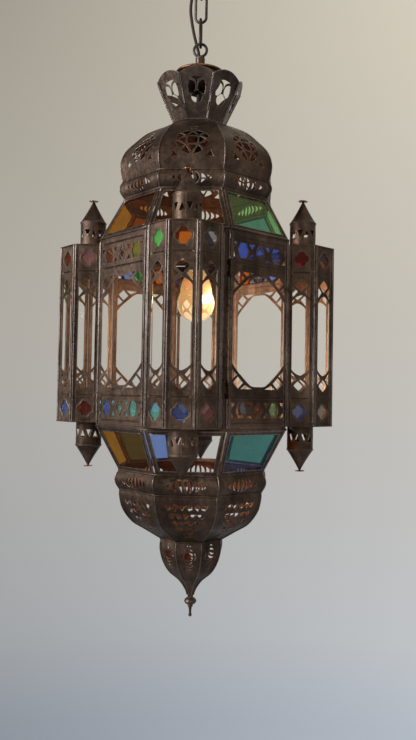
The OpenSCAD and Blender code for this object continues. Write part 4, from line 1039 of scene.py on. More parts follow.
def kite_field(rows=6, w=10.8, h=13.4):
    """Rows of kites that narrow downwards, each a third of a turn from its neighbour and a
    little off, as cut by hand."""
    field = []
    for r in range(rows):
        for i in range(r + 1):
            off = sin(12.9 * r + 4.7 * i)
            size = 1 + 0.10 * sin(7.1 * r + 9.3 * i)
            turn = radians(120 * ((r + i) % 3) + 9 * off)
            field.append(moved([(x * size, y * size) for x, y in KITE],
                               (i - r / 2) * w + 0.5 * off, (r - rows / 2) * h + h / 2, turn))
    return field


def onion_slit(length):
    return moved(lens(length, -length / 11, length / 3.3), 0, 0, pi / 2)


def onion_holes(size=10.8):
    """A small square between four bowed slits, with smaller slits above and below."""
    holes = [square_hole(size / 2, -size / 8)]
    holes += quarters(moved(onion_slit(size * 1.1), 0, size * 0.8))
    for wide, y in ((0.7, 1.42), (1.3, -1.3), (0.8, -1.95)):
        slit = moved(onion_slit(wide * size), 0, 0, pi if y < 0 else 0)
        holes.append(moved(slit, 0, y * size))
    return holes


def bent_form(name, bend, holes, share, node_name, seed, ridge=1.0):
    """The eight sides of a bent form, and the beads that cover their seams."""
    # The inside faces take the bronze painted with the bulb's light
    form = sheets(bend.gore(holes, share), name, SIDES, seed=seed, back=BENT_INSIDE_LAMPLIT)
    hang(form, "bronze", node_name)
    bead(all_corners(bend.corner(0.2)), name + "_seams", ridge, *RIDGE)


bent_form("dome", DOME, rosette(), 0.33, "dome_gores", 1.0)
bent_form("dome_band", SKIRT, slot_row(SKIRT_H * 0.8), 0.5, "skirt_band", 2.0)
bent_form("bowl_band", BAND, slot_row(BAND_DROP * 0.75), 0.5, "lower_band", 3.0)
bent_form("bowl", BOWL, kite_field(), 0.53, "bowl_gores", 4.0)
bent_form("drop", ONION, onion_holes(), 0.79, "onion_gores", 5.0, 0.8)


def octagon_line(r, z):
    """A closed line round the eight corners at a radius."""
    ring = [(r * sin(HALF + k * STEP), -r * cos(HALF + k * STEP), z)
            for k in range(SIDES)]
    dense = [p for a, b in round_trip(ring) for p in stations(a, b, 8)]
    return dense + dense[:1]


GIRDLES = [(FLAT / COS_HALF + 0.5, 0), (FLAT / COS_HALF + 0.5, BODY_H),
           (ROOF_R + 0.4, ROOF_Z), (DOME_FOOT_R + 0.4, DOME_Z), (HOOD_R + 0.4, -HOOD_H),
           (BOWL_R + 0.4, BOWL_Z), (DROP_R * ONION_SHARES[-1][0] + 0.6, THROAT_Z)]
hang(wires([octagon_line(r, z) for r, z in GIRDLES], "girdle_wires", 1.5, BRONZE, 8, 0.4),
     "bronze")


# ---- crown

def petal():
    """One petal of the crown, flat: a tapered opening over crossing arcs and a diamond."""
    lo = ((WAIST_R - SEAM) * COS_HALF, WAIST_Z + WAIST_PLATE + 0.3)
    hi = (CROWN_R * COS_HALF, WAIST_Z + CROWN_H)
    length = dist(lo, hi)
    foot, top = (a * TAN_HALF - EDGE_CUT - SEAM for a in (lo[0], hi[0]))
    left, right = (-top, length), (top, length)
    w, b = top * 0.39, BAR_W * 0.62
    up, mid, low = 0.90 * length, 0.67 * length, 0.35 * length
    side = (bow((w + b, up - 2 * b), (w + b, mid - length / 8), -length / 40)
            + bow((w + b, mid - length / 8), (b, mid), -length / 20)
            + bow((b, mid), (w + b, up - 2 * b), -length / 16))
    upper = (bow((-w, up), (w, up), -length / 40) + bow((w, up), (b / 2, mid + b), length / 16)
             + bow((-b / 2, mid + b), (-w, up), length / 16))
    lower = hollow_diamond(1.7 * w, mid - low - 2 * b, -length / 26)
    holes = [upper, side, flipped(side), moved(lower, 0, (mid + low) / 2 - b)]
    place = leaning(lo, hi, 1)
    edge = [place(x - 0.4, y, 0.2) for x, y in stations((foot, 0), right, 12) + [right]]
    rim = [place(x, y, -0.4) for x, y in bow(right, left, PETAL_ARCH, 16) + [left]]
    outline = [(-foot, 0), (foot, 0)] + bow(right, left, PETAL_ARCH, 12) + [left]
    flat = sheet(outline, holes, pitch=5)
    return Work(flat, place), [edge, [(-x, y, z) for x, y, z in edge], rim]


petal_work, petal_lines = petal()
hang(sheets(petal_work, "crown", SIDES, seed=6.0, uneven=1.2, face=WORN, back=BRONZE),
     "worn_bronze", "crown_petals")
bead([line for edge in petal_lines for line in all_corners(edge)], "crown_ridges", 0.75, 8, 0.2)


# ---- panels

# Half the width of a pressed line, and its depth
RAIL_CREASE, CELL_CREASE, JEWEL_CREASE, GROOVE = (1.7, 1.3), (1.6, 1.2), (0.6, 0.4), (0.9, 0.9)
HEX = [(-0.5, 0), (-0.27, 0.5), (0.27, 0.5), (0.5, 0), (0.27, -0.5), (-0.27, -0.5)]
RAIL_H, BAND_H, STILE_W, CORNER_W, HEX_W, HEX_SET = 12.0, 25.0, 7.0, 44.0, 21.0, 34.0
WINDOW_W = SIDE - 2 * STILE_W
BAND_Y = RAIL_H + BAND_H / 2
WINDOW_FOOT = 2 * RAIL_H + BAND_H + 6.0


def band_holes():
    """A diamond, two hexagons, and between them triangles and slanted slits."""
    h, w, b = BAND_H - BAR_W, WINDOW_W / 2, BAR_W
    top, tri, mid, wide = h / 2, h / 3, HEX_SET / 2, h / 3 * 0.8
    corner = [[(mid - wide, top), (mid + wide, top), (mid, top - tri)],
              [(w, top), (w - tri, top), (w, top - tri)],
              [(b / 3, top), (b * 0.9, top), (6 + b * 0.8, b / 2), (6 + b * 0.4, b / 4)]]
    holes = [diamond(12, h * 0.62)]
    for m in (-1, 1):
        holes.append([(m * HEX_SET + x * HEX_W, y * h) for x, y in HEX])
        holes += [[(m * x, n * y) for x, y in hole] for n in (-1, 1) for hole in corner]
    return holes


def window_corner():
    s = CORNER_W
    nooks = [[(0.4, 0.01), (0.915, 0.01), (0.6, 0.14)], [(0.01, 0.31), (0.01, 0.64), (0.23, 0.47)]]
    return [moved(diamond(0.46 * s, 0.4 * s), 0.27 * s, -0.21 * s)] + [
        [(x * s, -y * s) for x, y in nook] for nook in nooks]


def window_hole(h):
    s, w = CORNER_W, WINDOW_W / 2
    q = [(-w, -s * 0.84), (-w + s * 0.40, -s * 0.46), (-w + s * 0.87, -s * 0.11), (0, -s * 0.09)]
    half = bow(q[0], q[1], -s / 50, 8) + bow(q[1], q[2], -s / 80, 6) + bow(q[2], q[3], -s / 80, 8)
    up = half + [q[3]] + flipped(half)[::-1]
    return [(x, y + h) for x, y in up] + [(x, -y) for x, y in reversed(up)]


def window_art(h):
    """The two bands of a window panel, and between them the opening and its corners."""
    holes = [moved(p, 0, y) for y in (BAND_Y, h - BAND_Y) for p in band_holes()]
    tall = h - 2 * WINDOW_FOOT
    holes.append(moved(window_hole(tall), 0, WINDOW_FOOT))
    for loop in window_corner():
        left = moved(loop, -WINDOW_W / 2, 0)
        for corner in (left, flipped(left)):
            holes += [moved(corner, 0, WINDOW_FOOT + tall),
                      moved(flipped(corner, True), 0, WINDOW_FOOT)]
    return holes


def cross_line(half, y):
    return [(-half, y), (half, y)]


def upright_grooves(half, h):
    """Pressed lines beside a panel's upright beads."""
    x = half - 3.7 * BEAD_R
    return [([(m * x, 3 * BEAD_R), (m * x, h - 3 * BEAD_R)], False, *GROOVE) for m in (-1, 1)]


def window_sheet(h):
    half = PANEL_W / 2
    rails = [RAIL_H / 2, BAND_Y + BAND_H / 2 + RAIL_H / 2]
    creases = [(cross_line(half - 3 * BEAD_R, y), False, *RAIL_CREASE)
               for e in rails for y in (e, h - e)]
    return sheet(plate(-half, 0, half, h), window_art(h), pitch=6.5,
                 creases=creases + upright_grooves(half, h))


def bead_lines(place, half, foot, tall):
    """The two upright bead lines of a panel."""
    return [[place(m * half, foot + tall * i / 24, SEAM) for i in range(25)] for m in (-1, 1)]


window_work, window_beads = Work(), []
for turn in WINDOW_TURNS:
    stand = side_place(turn, FLAT, RIM_H)
    window_work.add(window_sheet(PANEL_H), stand)
    window_beads += bead_lines(stand, PANEL_W / 2 - BEAD_R, 0, PANEL_H)
hang(sheets(window_work, "windows", seed=7.0), "bronze", "window_panels")
bead(window_beads, "window_beads")


# ---- turrets

JEWEL_CORNER = [(0.16, 0.5), (0.29, 0.29), (0.5, 0.13)]
JEWEL = [(m * x, n * y) for m, n, step in ((1, 1, 1), (1, -1, -1), (-1, -1, 1), (-1, 1, -1))
         for x, y in JEWEL_CORNER[::step]]
CELL_H, JEWEL_W, JEWEL_H, LATTICE_H, SLIT_W, KEEL_RISE = 41.0, 21.6, 22.8, 38.0, 26.6, 9.5
TURRET_SIDES = (-90, -45, 0, 45, 90)


def turret_art():
    """A jewel's hole and a lattice at each end of a turret's panel, and a keel-shaped window."""
    h, w = TURRET_H, SLIT_W / 2
    top, tall = -CELL_H - LATTICE_H * 0.28, LATTICE_H * 0.485
    side = [(x * SLIT_W, -CELL_H - LATTICE_H * y)
            for x, y in ((0.5, 0.56), (0.2, 0.78), (0.5, 1.04))]
    ends = [moved([(x * JEWEL_W, y * JEWEL_H) for x, y in JEWEL], 0, -CELL_H / 2),
            moved(hollow_diamond(SLIT_W * 0.74, tall, -tall / 30), 0, top - tall / 2),
            side, flipped(side)]
    holes = [moved(p, 0, h) for p in ends] + [flipped(p, True) for p in ends]
    tip = h - CELL_H - LATTICE_H + 2.8
    shoulder, k = tip - KEEL_RISE, -KEEL_RISE / 6
    keel = [(-w, h - shoulder)] + bow((-w, shoulder), (0, tip), k)
    keel += bow((0, tip), (w, shoulder), k) + [(w, shoulder)]
    keel += bow((w, h - shoulder), (0, h - tip), k) + bow((0, h - tip), (-w, h - shoulder), k)
    return holes + [keel]


def turret_sheet():
    h, w = TURRET_H, TURRET_PANEL_W / 2
    loop = [(x * (JEWEL_W + 4.4), y * (JEWEL_H + 4.4)) for x, y in JEWEL]
    creases = [(cross_line(w - 3 * BEAD_R, y), False, *CELL_CREASE) for y in (CELL_H, h - CELL_H)]
    creases += [(moved(loop, 0, y), True, *JEWEL_CREASE) for y in (CELL_H / 2, h - CELL_H / 2)]
    return sheet(plate(-w, 0, w, h), turret_art(), pitch=5.5,
                 creases=creases + upright_grooves(w, h))


for number, (label, turn) in enumerate(TURRET_TURNS.items()):
    stand = Matrix.Rotation(radians(turn), 4, "Z") @ Matrix.Translation((0, -TURRET_Y * MM, 0))
    work = Work(turret_sheet(), side_place(0, TURRET_HALF, TURRET_BOTTOM))
    hang(sheets(work, label + "_turret_sheets", len(TURRET_SIDES), radians(TURRET_SIDES[0]),
                seed=8.0 + number, place=stand), "bronze", label + "_turret")
    beads = [line for side in TURRET_SIDES for line in bead_lines(
        side_place(side, TURRET_HALF, TURRET_BOTTOM), TURRET_PANEL_W / 2 - BEAD_R, 0, TURRET_H)]
    bead(beads, label + "_turret_beads", place=stand)


def cap_wall(h, band_z, r=20.5, count=12, tooth=12.0):
    """The pierced wall of a pointed cap, flat: a zigzag of triangles."""
    w, half = pi * r / count - BAR_W / 5, pi * r - 0.1
    holes = []
    for i in range(count):
        up = tooth / 2 if i % 2 == 0 else -tooth / 2
        x = (i - count / 2 + 0.5) * 2 * pi * r / count
        holes.append([(x - w, band_z - up), (x + w, band_z - up), (x, band_z + up)])
    flat = sheet(plate(-half, 0, half, h), holes, pitch=3.2)
    return flat, lambda x, y, z: ((r + z) * sin(x / r), (r + z) * cos(x / r), y)


def cap_form(h, cone, band_z, r=20.5):
    """A pointed cap: its wall, and a hollow cone with a swelling side and a rolled brim."""
    def swell(t):
        return 0.6 * sin(pi * t)

    hat = [(r - 0.9, h - 0.6), (r + 0.6, h - 0.5), (r + 1.0, h), (r + 1.0, h + 0.7),
           (r + 0.3, h + 1.1)]
    hat += [(r * (1 - t) - swell(t) + 1.2 * t, h + 1.1 + (cone - 1.1) * t)
            for t in [i / 10 for i in range(1, 10)]]
    hat += [(1.3, h + cone), (0, h + cone), (0, h + cone - 2.5)]
    hat += [((r - 1) * (1 - t) - swell(t), h + cone * 0.93 * t)
            for t in [i / 8 for i in range(7, -1, -1)]]
    return Work(*cap_wall(h, band_z)).add(lathe(hat + hat[:1]))


def nail_form(z, lean, r=7.5):
    """A worn nail head, bent over the tip of a cone."""
    disc = [(0, 0), (2.2, 0.0), (r * 0.7, 0.5), (r, 1.0), (r - 0.1, 1.9), (r * 0.75, 1.7),
            (2.5, 2.1), (0, 2.2)]
    c, s = cos(lean), sin(lean)

    def bent(x, y, h):
        u = c * x + s * y
        return x * 0.98, y, z + h - 0.010 * u * u + 0.05 * u

    return Work(lathe(disc, 32), bent)


CAP_H, CAP_CONE, DROP_H, DROP_CONE = 43.5, 36.0, 38.0, 33.0
tops, feet, nails = Work(), Work(), Work()
for number, turn in enumerate(TURRET_TURNS.values()):
    out = about(turn, CAP_Y)
    tops.add(cap_form(CAP_H, CAP_CONE, CAP_H * 0.5 + 3),
             lambda x, y, z: out(x, y, z + BODY_H - TURRET_INSET))
    feet.add(cap_form(DROP_H, DROP_CONE, DROP_H * 0.5),
             lambda x, y, z: out(x, y, TURRET_INSET - z))
    nails.add(nail_form(BODY_H - TURRET_INSET + CAP_H + CAP_CONE, number * 1.3), out)
    nails.add(nail_form(0, number * 1.3 + 0.7),
              lambda x, y, z: out(x, y, TURRET_INSET - DROP_H - DROP_CONE - z))
hang(sheets(tops, "cap_tops", seed=12.0), "bronze", "turret_caps")
hang(sheets(feet, "cap_feet", seed=13.0), "bronze", "turret_drops")
hang(solid(nails, "nail_heads", COPPER), "copper", "cap_nails")


# ---- frames, rims, plates and posts

def slope_form(lo, hi, name, node_name, seed):
    """The eight metal frames round the slanted panes, each with a folded inner lip."""
    length, place, wide_foot = dist(lo, hi), leaning(lo, hi), lo[0] > hi[0]

    def trapezium(edge_in):
        a, b = (side[0] * TAN_HALF - SHEET - SEAM - edge_in for side in (lo, hi))
        foot = edge_in + (SHEET if wide_foot else SEAM / 2)
        head = length - edge_in - (SEAM / 2 if wide_foot else SHEET)
        low, high = a + (b - a) * foot / length, a + (b - a) * head / length
        return [(-low, foot), (low, foot), (high, head), (-high, head)]

    work = Work(sheet(trapezium(0), [trapezium(6.5)], pitch=6), place)
    hang(sheets(work, name, SIDES, seed=seed), "bronze", node_name)
    lips = []
    for inset_by, lift in ((6.2, 0.3), (0.9, 0.2)):
        loop = closer(trapezium(inset_by), 8)
        lips += all_corners([place(x, y, lift) for x, y in loop + loop[:1]])
    bead(lips, name + "_lips", 0.8, *RIDGE)


slope_form((FLAT, BODY_H), (ROOF_R * COS_HALF, ROOF_Z), "roof_frame_sheets", "roof_frames", 14.0)
slope_form((HOOD_R * COS_HALF, -HOOD_H), (FLAT, 0), "hood_frame_sheets", "hood_frames", 15.0)


def rim_form(foot, name, node_name, seed):
    outer, inner = (x * TAN_HALF - SEAM / 2 for x in (FLAT, FLAT - RIM_W))
    bar = sheet([(-outer, 0), (outer, 0), (inner, RIM_W), (-inner, RIM_W)], thick=RIM_H,
                chamfer=0.9, pitch=8)
    work = Work(bar, lambda x, y, z: (x, y - FLAT, foot + RIM_H + z))
    hang(sheets(work, name, SIDES, seed=seed, back=BRONZE), "bronze", node_name)


rim_form(BODY_H - RIM_H, "top_rim_bars", "top_rim", 16.0)
rim_form(0, "bottom_rim_bars", "bottom_rim", 17.0)


def plate_plan(lip=0.8):
    w, b = TURRET_HALF + lip, TURRET_W / 2 + lip * TAN_HALF
    return [(-w, TURRET_W / 2), (-w, -b), (-b, -w), (b, -w), (w, -b), (w, TURRET_W / 2)]


plates, plate_edges = Work(), []
for turn in TURRET_TURNS.values():
    out = about(turn, TURRET_Y)
    for z in (TURRET_INSET, BODY_H - TURRET_INSET - TURRET_PLATE):
        plates.add(sheet(plate_plan(), thick=TURRET_PLATE, chamfer=0.3, pitch=9),
                   lambda x, y, h: out(x, y, z + TURRET_PLATE + h))
        plan = plate_plan(0.5)
        line = [p for a, b in zip(plan, plan[1:])
                for p in stations(a, b, ceil(dist(a, b) / 6))] + plan[-1:]
        plate_edges.append([out(x, y, z + TURRET_PLATE / 2) for x, y in line])
hang(sheets(plates, "turret_plate_sheets", seed=18.0, back=BRONZE), "bronze", "turret_plates")
hang(wires(plate_edges, "turret_plate_edges", 1.1, BRONZE, *RIDGE), "bronze")

POST_IN = TURRET_HALF - SHEET
POST_W = PANEL_W / 2 - POST_IN
posts, post_beads = Work(), []
for turn in TURRET_TURNS.values():
    stand = side_place(turn, FLAT, RIM_H)
    for m in (-1, 1):
        x0 = POST_IN if m > 0 else -POST_IN - POST_W
        posts.add(sheet(plate(x0, 0, x0 + POST_W, PANEL_H), pitch=5), stand)
    post_beads += bead_lines(stand, PANEL_W / 2 - BEAD_R, 0, PANEL_H)


# ---- door, hinges and latch

PIN_R, BARREL_R, KNUCKLE_L, DOOR_GAP = 1.25, 3.0, 8.0, 0.4
LEAF_W, LEAF_SET = 10, 5.5
PIN_OUT = BARREL_R + SHEET / 2 + 0.15
PIN_U, PIN_N = SIDE / 2 + PIN_OUT * sin(HALF), SHEET + PIN_OUT * COS_HALF
HINGE_L = 3 * KNUCKLE_L + 2 * SEAM
STUD_U, STUD_N = SIDE / 2 + 5 * cos(STEP), SHEET - 5 * sin(STEP)
STUD_R, LATCH_Z, LATCH_REACH, LATCH_T = 1.3, 212.0, 8.5, 1.5
LATCH_N = 2 * BEAD_R + SEAM
STUD_TOP = LATCH_N + LATCH_T + SHEET


def knuckle(y, side):
    """A hinge barrel and its leaf on the right (1) or left (-1) edge of a side."""
    bore, out = PIN_R + 0.15, PIN_N - SHEET
    ring = [(bore, 0.3), (bore + 0.3, 0), (BARREL_R - 0.4, 0), (BARREL_R, 0.4),
            (BARREL_R, KNUCKLE_L - 0.4), (BARREL_R - 0.4, KNUCKLE_L), (bore + 0.3, KNUCKLE_L),
            (bore, KNUCKLE_L - 0.3)]
    work = Work(lathe(ring, 24, closed=True), lambda a, b, c: (side * PIN_U + a, y + c, out + b))
    x0 = SIDE / 2 - LEAF_SET
    reach = PIN_U - BARREL_R * 0.8 - x0
    leaf = sheet(plate(0, 0, LEAF_W, KNUCKLE_L), chamfer=0.3, pitch=3)
    return work.add(leaf, lambda a, b, c: (side * (x0 + a / LEAF_W * reach), y + b,
                                           1.0 + c + (out - 0.6) * (a / LEAF_W) ** 2))


def upright_pin(x, y, foot, top, head=()):
    """A pin that stands out of a side; a head is (radius, height) points over its top."""
    end = [(r, top + h) for r, h in head or ((STUD_R * 0.8, 0.3), (0, 0.4))]
    line = [(0, foot), (STUD_R, foot), (STUD_R, top)] + end
    return Work(lathe(line, 20), lambda a, b, c: (x + a, y + b, c))


def hinge_foot(k):
    return (0.2, 0.8)[k] * BODY_H - HINGE_L / 2 - RIM_H


front = side_place(0, FLAT, RIM_H)
for k in (0, 1):
    for j in (0, 2):
        posts.add(knuckle(hinge_foot(k) + j * (KNUCKLE_L + SEAM), 1), front)
keeper = side_place(DOOR_TURN, FLAT, 0)
posts.add(upright_pin(STUD_U, LATCH_Z, STUD_N - SHEET - 2.6, STUD_TOP - SHEET - 0.4), keeper)
hang(sheets(posts, "corner_strips", seed=19.0), "bronze", "corner_posts", "hinge_post")
bead(post_beads, "corner_beads")

DOOR_H = PANEL_H - 2 * DOOR_GAP
door_stand = side_place(DOOR_TURN, FLAT, RIM_H + DOOR_GAP)
door = Work(window_sheet(DOOR_H), door_stand)
for k in (0, 1):
    door.add(knuckle(hinge_foot(k) + KNUCKLE_L + SEAM - DOOR_GAP, -1), door_stand)
LATCH_U = STUD_U - LATCH_REACH
RIVET_R, RIVET_H = 2.4, 1.1
rivet = [(RIVET_R * 0.9, 0), (RIVET_R, RIVET_H * 0.3), (RIVET_R * 0.7, RIVET_H * 0.85),
         (0, RIVET_H)]
door.add(upright_pin(LATCH_U, LATCH_Z - RIM_H - DOOR_GAP, -0.6, LATCH_N + LATCH_T + SEAM - SHEET,
                     rivet), door_stand)
hang(sheets(door, "door_sheet", seed=20.0, uneven=0.3), "bronze", "door_panel", body="door")
bead(bead_lines(door_stand, PANEL_W / 2 - BEAD_R, 0, DOOR_H), "door_beads", wobble=0.2, body="door")


# ---- hanging gear

def circle_line(r, place, steps=40):
    return [place(r * cos(2 * pi * i / steps), r * sin(2 * pi * i / steps))
            for i in range(steps)] + [place(r, 0.0)]


def link_line(foot, across):
    """The middle line of a chain link: two straights and two half rings."""
    run = LINK_PITCH - 2 * LINK_R
    flat = [(LINK_R * cos(a), LINK_R * sin(a) + (LINK_R + run if a < pi else LINK_R))
            for a in [pi * (i + 0.5) / 12 for i in range(24)]]
    points = [(u, 0, foot + v) if across else (0, u, foot + v) for u, v in flat]
    return points + points[:1]


def shifted(z, points):
    """Points of (radius, height) raised by a height."""
    return [(r, z + h) for r, h in points]


for which, foot, across in (("upper", UPPER_LINK_Z, True), ("lower", LOWER_LINK_Z, False)):
    link = wires([link_line(foot, across)], which + "_chain_link", WIRE_R, IRON, *ROD)
    hang(link, "iron", which + "_link", body=which + "_link")

eye_ring = wires([circle_line(EYE_R, lambda a, b: (a, 0, EYE_Z + b))], "eye_ring", WIRE_R,
                 IRON, *ROD)
shank = shifted(CAP_Z, [(0, -5), (2.5, -5), (2.5, 4), (5, 4), (5.2, 5.2), (4.2, 6.2), (2.4, 6.8),
                        (0, 6.8)])
hang(joined("eye_and_shank", eye_ring, solid(Work(lathe(shank, 32)), "shank", IRON)), "iron",
     "hanging_eye")
hook_ring = wires([circle_line(HOOK_R, lambda a, b: (0, a, HOOK_Z + HOOK_R + b), 32)],
                  "hook_ring", WIRE_R, IRON, 16, 0.2)
stem = shifted(CEILING, [(0, -1.4), (3, -1.4), (3, -40.2), (6, -40.2), (6.2, -41.2), (5.4, -42.4),
                         (3, -42.8), (3, -44.2), (0, -44.7)])
hang(joined("hook_and_stem", hook_ring, solid(Work(lathe(stem, 32)), "stem", IRON)), "iron",
     "ceiling_hook", body="ceiling")

neck = shifted(NECK_Z, [
    (5.3, 0), (NECK_R - 0.3, 0), (NECK_R, 0.4), (NECK_R - 0.15, 4), (NECK_R - 0.5, 10),
    (NECK_R - 0.15, 17), (NECK_R, NECK_H - 0.5), (NECK_R - 0.3, NECK_H - 0.1),
    (5.3, NECK_H - 0.1)])
hang(solid(Work(lathe(neck, 36, closed=True)), "neck_sleeve", WORN), "bronze", "neck_tube")
CUP_R = DISC_R - DISC_RIM_R - SEAM
cup = smooth([(CUP_R, -0.8), (CUP_R * 0.97, -8), (CUP_R * 0.87, -17), (CUP_R * 0.68, -25.5),
              (CUP_R * 0.42, -31), (5.6, -33)], 4)
canopy = [(5.4, DISC_T + 2), (CUP_R * 0.35, DISC_T + 1.9), (CUP_R * 0.7, DISC_T + 1),
          (CUP_R, DISC_T / 2)] + cup + [(x * 0.95 + 0.3, z * 0.95) for x, z in cup[::-1]]
canopy += [(CUP_R * 0.7, 0.4), (CUP_R * 0.35, 1.5), (5.4, 2)]
hang(solid(Work(lathe(shifted(DISC_Z, canopy), 64, closed=True)), "canopy", BRONZE, uneven=0.8),
     "bronze", "canopy_disc")
hang(wires([circle_line(DISC_R, lambda a, b: (a, b, DISC_Z), 72)], "canopy_rim", DISC_RIM_R,
           COPPER, 14, 0.5), "copper", "disc_rim")

NECK_BUSH, ROSE_BUSH = (-3, 9.5), (-16, 6)
ROSE_FLAT, ROSE_T = ROSE_R * 0.62, 1.2
rose_side = [(ROSE_FLAT, -ROSE_H), (ROSE_R, -ROSE_H / 4)]
rose_line = [(0, -ROSE_H), (ROSE_FLAT, -ROSE_H)] + bow(*rose_side, ROSE_H / 5, 10)[1:]
rose_line += [(ROSE_R, -10), (ROSE_R, -0.4), (ROSE_R - 0.4, 0), (ROSE_R - ROSE_T, 0),
              (ROSE_R - ROSE_T, -10)]
rose_line += [(r - ROSE_T * (1 - i / 10), z + ROSE_T * i / 10)
              for i, (r, z) in enumerate(bow(*rose_side[::-1], -ROSE_H / 5, 10)) if i]
rose_line += [(ROSE_FLAT, -ROSE_H + ROSE_T), (0, -ROSE_H + ROSE_T)]


def bush_form(x, y, foot, mouth, step):
    """A cord's bush: a small collar with a lipped mouth."""
    line = [(1.8, foot), (3.9, foot), (3.9, mouth - step), (3.4, mouth), (2.7, mouth),
            (2.4, mouth - step), (1.8, mouth - step)]
    return Work(lathe(line, 28, closed=True), lambda p, q, v: (x + p, y + q, v))


rose = Work(lathe(shifted(CEILING, rose_line), 64))
rose.add(bush_form(*ROSE_BUSH, CEILING - ROSE_H, CEILING - ROSE_H - 7, -0.8))
hang(solid(rose, "rose_shell", BRONZE, uneven=0.5), "bronze", "ceiling_rose", body="ceiling")
cap = Work(lathe(shifted(CAP_Z, [(2.8, 0), (NECK_R, 0), (NECK_R, 3.4), (NECK_R - 0.6, 4),
                                 (2.8, 4)]), 36, closed=True))
cap.add(sheet(plate(-2.5, 0, 2.5, 9.5), thick=3.8, chamfer=0.5, pitch=4),
        lambda x, y, z: (NECK_BUSH[0] + x, y, CAP_Z + 3.9 + z))
cap.add(bush_form(*NECK_BUSH, CAP_Z, CAP_Z + 11, 0.8))
hang(solid(cap, "neck_cap_and_bush", WORN), "bronze", "neck_cap")


# ---- finial and lamp

def finial_form():
    """Two turned beads and a point, under a collar."""
    line = [(0, 6), (3.6, 6), (3.6, 0.2), (4.6, 0), (4.7, -2.5), (4.2, -4)]
    line += bow((4.3, -4.6), (10, -10), -1.2) + [(9.9, -10.4)]
    line += bow((9.6, -11), (4.2, -15.6), -1.0) + [(3.6, -16.2), (4.4, -17.2), (4.3, -18.2)]
    line += bow((3.2, -19), (2.4, -31), 0.8)
    line += [(2.7, -32.2), (2.2, -34), (1.2, -34.8), (0, -35)]
    return Work(lathe(shifted(TIP_Z, line), 36))


hang(solid(finial_form(), "finial_turning", WORN), "worn_bronze", "finial")


def bulb_line(r, neck):
    """Half the outline of a household bulb, from its lowest point to its neck."""
    line = [(max(0, r * cos(radians(a))), r * sin(radians(a)))
            for a in range(-90, 36, 6)]
    shoulder, end = line[-1], (neck, BULB_L - BULB_R)
    return shifted(BULB_Z + BULB_R, line + bow(shoulder, end, 3.4, 10)[1:] + [end])


bulb = Work(lathe(bulb_line(BULB_R, 12.25) + bulb_line(BULB_R - 1, 11.25)[::-1], 64))


def lit_glass():
    """The lit bulb: clear glass that glows, brightest before the filament."""
    made, tree, shader = finish_tree("lit_bulb")
    away = vector_of(tree, "DISTANCE", place_of(tree), lantern(*BURNER))
    glow = ramp_of(tree, sum_of(tree, "MULTIPLY", away, 18.0),
                   [(0.23, (1.0, 0.80, 0.45)), (0.34, (0.66, 0.38, 0.14)),
                    (0.48, (0.28, 0.15, 0.052)), (0.9, (0.09, 0.05, 0.02))])
    give(tree, shader, Base_Color=(1.0, 0.95, 0.86), Transmission_Weight=1.0, Roughness=0.03,
         IOR=1.12, Emission_Color=glow, Emission_Strength=0.85)
    clear_by(tree, shader, shadow_ray(tree))
    return made


def plain(name, colour, rough, metal=0.0, speck=0.12, scale=160.0):
    """A moulded or stamped finish with a fine cloud in colour and gloss."""
    made, tree, shader = finish_tree(name)
    cloud = noise_of(tree, scale, 4, 0.6)
    low, high = (tuple(min(1, c * (1 + off)) for c in colour) for off in (-speck, speck))
    give(tree, shader, Base_Color=ramp_of(tree, cloud, [(0.3, low), (0.7, high)]), Metallic=metal,
         Roughness=ramp_of(tree, cloud, [(0.3, rough), (0.7, rough + 0.12)]))
    relief(tree, shader, cloud, 0.1, 0.0003)
    return made


hang(solid(bulb, "bulb_envelope", lit_glass(), sharp=ROUND), "bulb_glass", "bulb_glass")
ALUMINIUM = plain("stamped_aluminium", (0.62, 0.60, 0.56), 0.28, 1.0)
BAKELITE = plain("moulded_black", (0.022, 0.019, 0.018), 0.22)


def screw_cap(r=12.6, tall=18.0, pitch=3.6, rise=0.6, steps=48, rows=40):
    """The bulb's screw cap, its thread a true helix."""
    foot = BULB_Z + BULB_L
    rings = [[(0, 0, foot)]]
    for i in range(rows + 1):
        z = tall * i / rows
        depth, ring = rise * min(1, z / 2, (tall - z) / 2), []
        for t in [2 * pi * k / steps for k in range(steps)]:
            rad = r + depth * cos(2 * pi * (z / pitch) - t)
            ring.append((rad * cos(t), rad * sin(t), foot + z))
        rings.append(ring)
    rings += [ring_at(9.0, foot + 20.2, steps), ring_at(6, foot + 22.9, steps), [(0, 0, foot + 23)]]
    return Work(skin(rings))


hang(solid(screw_cap(), "screw_cap", ALUMINIUM, sharp=ROUND), "bulb_cap", "bulb_cap")
holder = shifted(BULB_Z + BULB_L - SEAM, [
    (13.55, 0), (18.2, 0), (19, 0.8), (19, 3), (18.4, 3.4), (18.4, 16), (19, 16.5), (19, 22),
    (18.3, 22.6), (18.3, 38), (17.4, 41), (13.3, 45.2), (10.5, 51), (9.5, 57.4), (8.9, 58),
    (5.3, 58), (5.3, 23.9), (13.55, 23.9)])
hang(solid(Work(lathe(holder, closed=True)), "holder_shell", BAKELITE), "lampholder",
     "lampholder")


def filament_finish():
    made, tree, shader = finish_tree("glowing_filament")
    glow = ramp_of(tree, noise_of(tree, 300, 2),
                   [(0.3, (1.0, 0.80, 0.50)), (0.7, (1.0, 0.90, 0.70))])
    give(tree, shader, Emission_Color=glow, Emission_Strength=40.0)
    return made


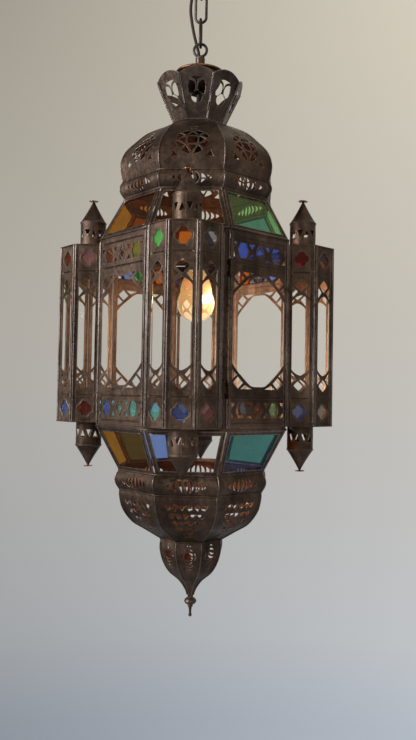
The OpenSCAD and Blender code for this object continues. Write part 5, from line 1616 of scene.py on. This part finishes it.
x, y, z = BURNER
burner = Work(lathe([(0, -7), (4.4, -6.5), (7.6, -4.2), (8.6, 0), (7.6, 4.2), (4.4, 6.5),
                     (0, 7)], 32), lambda a, b, c: (x + a, y + b, z + c))
burner = hang(solid(burner, "burner", filament_finish(), sharp=70), "filament")
bulb_light.parent = burner
wires_in = [[(3 * m, 0, BULB_Z + BULB_L - 4), (3 * m, 0, BULB_Z + 60), (x + 2 * m, y, z + 12),
             (x + 2 * m, y, z + 5)] for m in (-1, 1)]
glass_stem = Work(lathe(shifted(BULB_Z, [(0, 58), (2, 57), (3.2, 60), (3.2, BULB_L),
                                         (0, BULB_L)]), 24))
hang(joined("burner_leads", wires([smooth(line, 4) for line in wires_in], "leads", 0.5, IRON, 8),
            solid(glass_stem, "glass_stem", GLASS["clear"])), "filament", "bulb_filament")

# ---- finishes of the CAD nodes that stay

KEPT = {"ceiling_plate": IRON, "crown_plate": BRONZE, "stem_nuts": IRON, "lamp_stem": IRON,
        "hinge_pins": IRON, "latch_hook": IRON, "window_glass": GLASS["clear"],
        "turret_glass": GLASS["clear"], "door_glass": GLASS["clear"]}
for tints, starts in ((JEWELS, ("jewels_", "door_jewels_")), (GLASS, ("slanted_glass_",))):
    for tint, finish in tints.items():
        for start in starts:
            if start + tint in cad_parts:
                KEPT[start + tint] = finish
for label, finish in KEPT.items():
    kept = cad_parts[label].data
    kept.materials.clear()
    kept.materials.append(finish)

# ---- floor

def floor_finish():
    """Pale paint that fades out far from the lantern, so that no edge of the floor shows."""
    made = plain("floor_paint", (0.60, 0.58, 0.55), 0.8, 0.0, 0.04, 3.0)
    tree = made.node_tree
    away = sum_of(tree, "MULTIPLY", vector_of(tree, "LENGTH", place_of(tree)), 0.1)
    clear_by(tree, tree.nodes["Principled BSDF"], ramp_of(tree, away, [(0.37, 0.0), (0.5, 1.0)]))
    return made


FLOOR_HALF, FLOOR_Z = 5, -3.4
floor = bpy.data.meshes.new("floor")
floor.from_pydata([(x, y, FLOOR_Z) for x, y in plate(-FLOOR_HALF, -FLOOR_HALF, FLOOR_HALF,
                                                     FLOOR_HALF)], [], [(0, 1, 2, 3)])
floor.materials.append(floor_finish())
show("floor", floor)
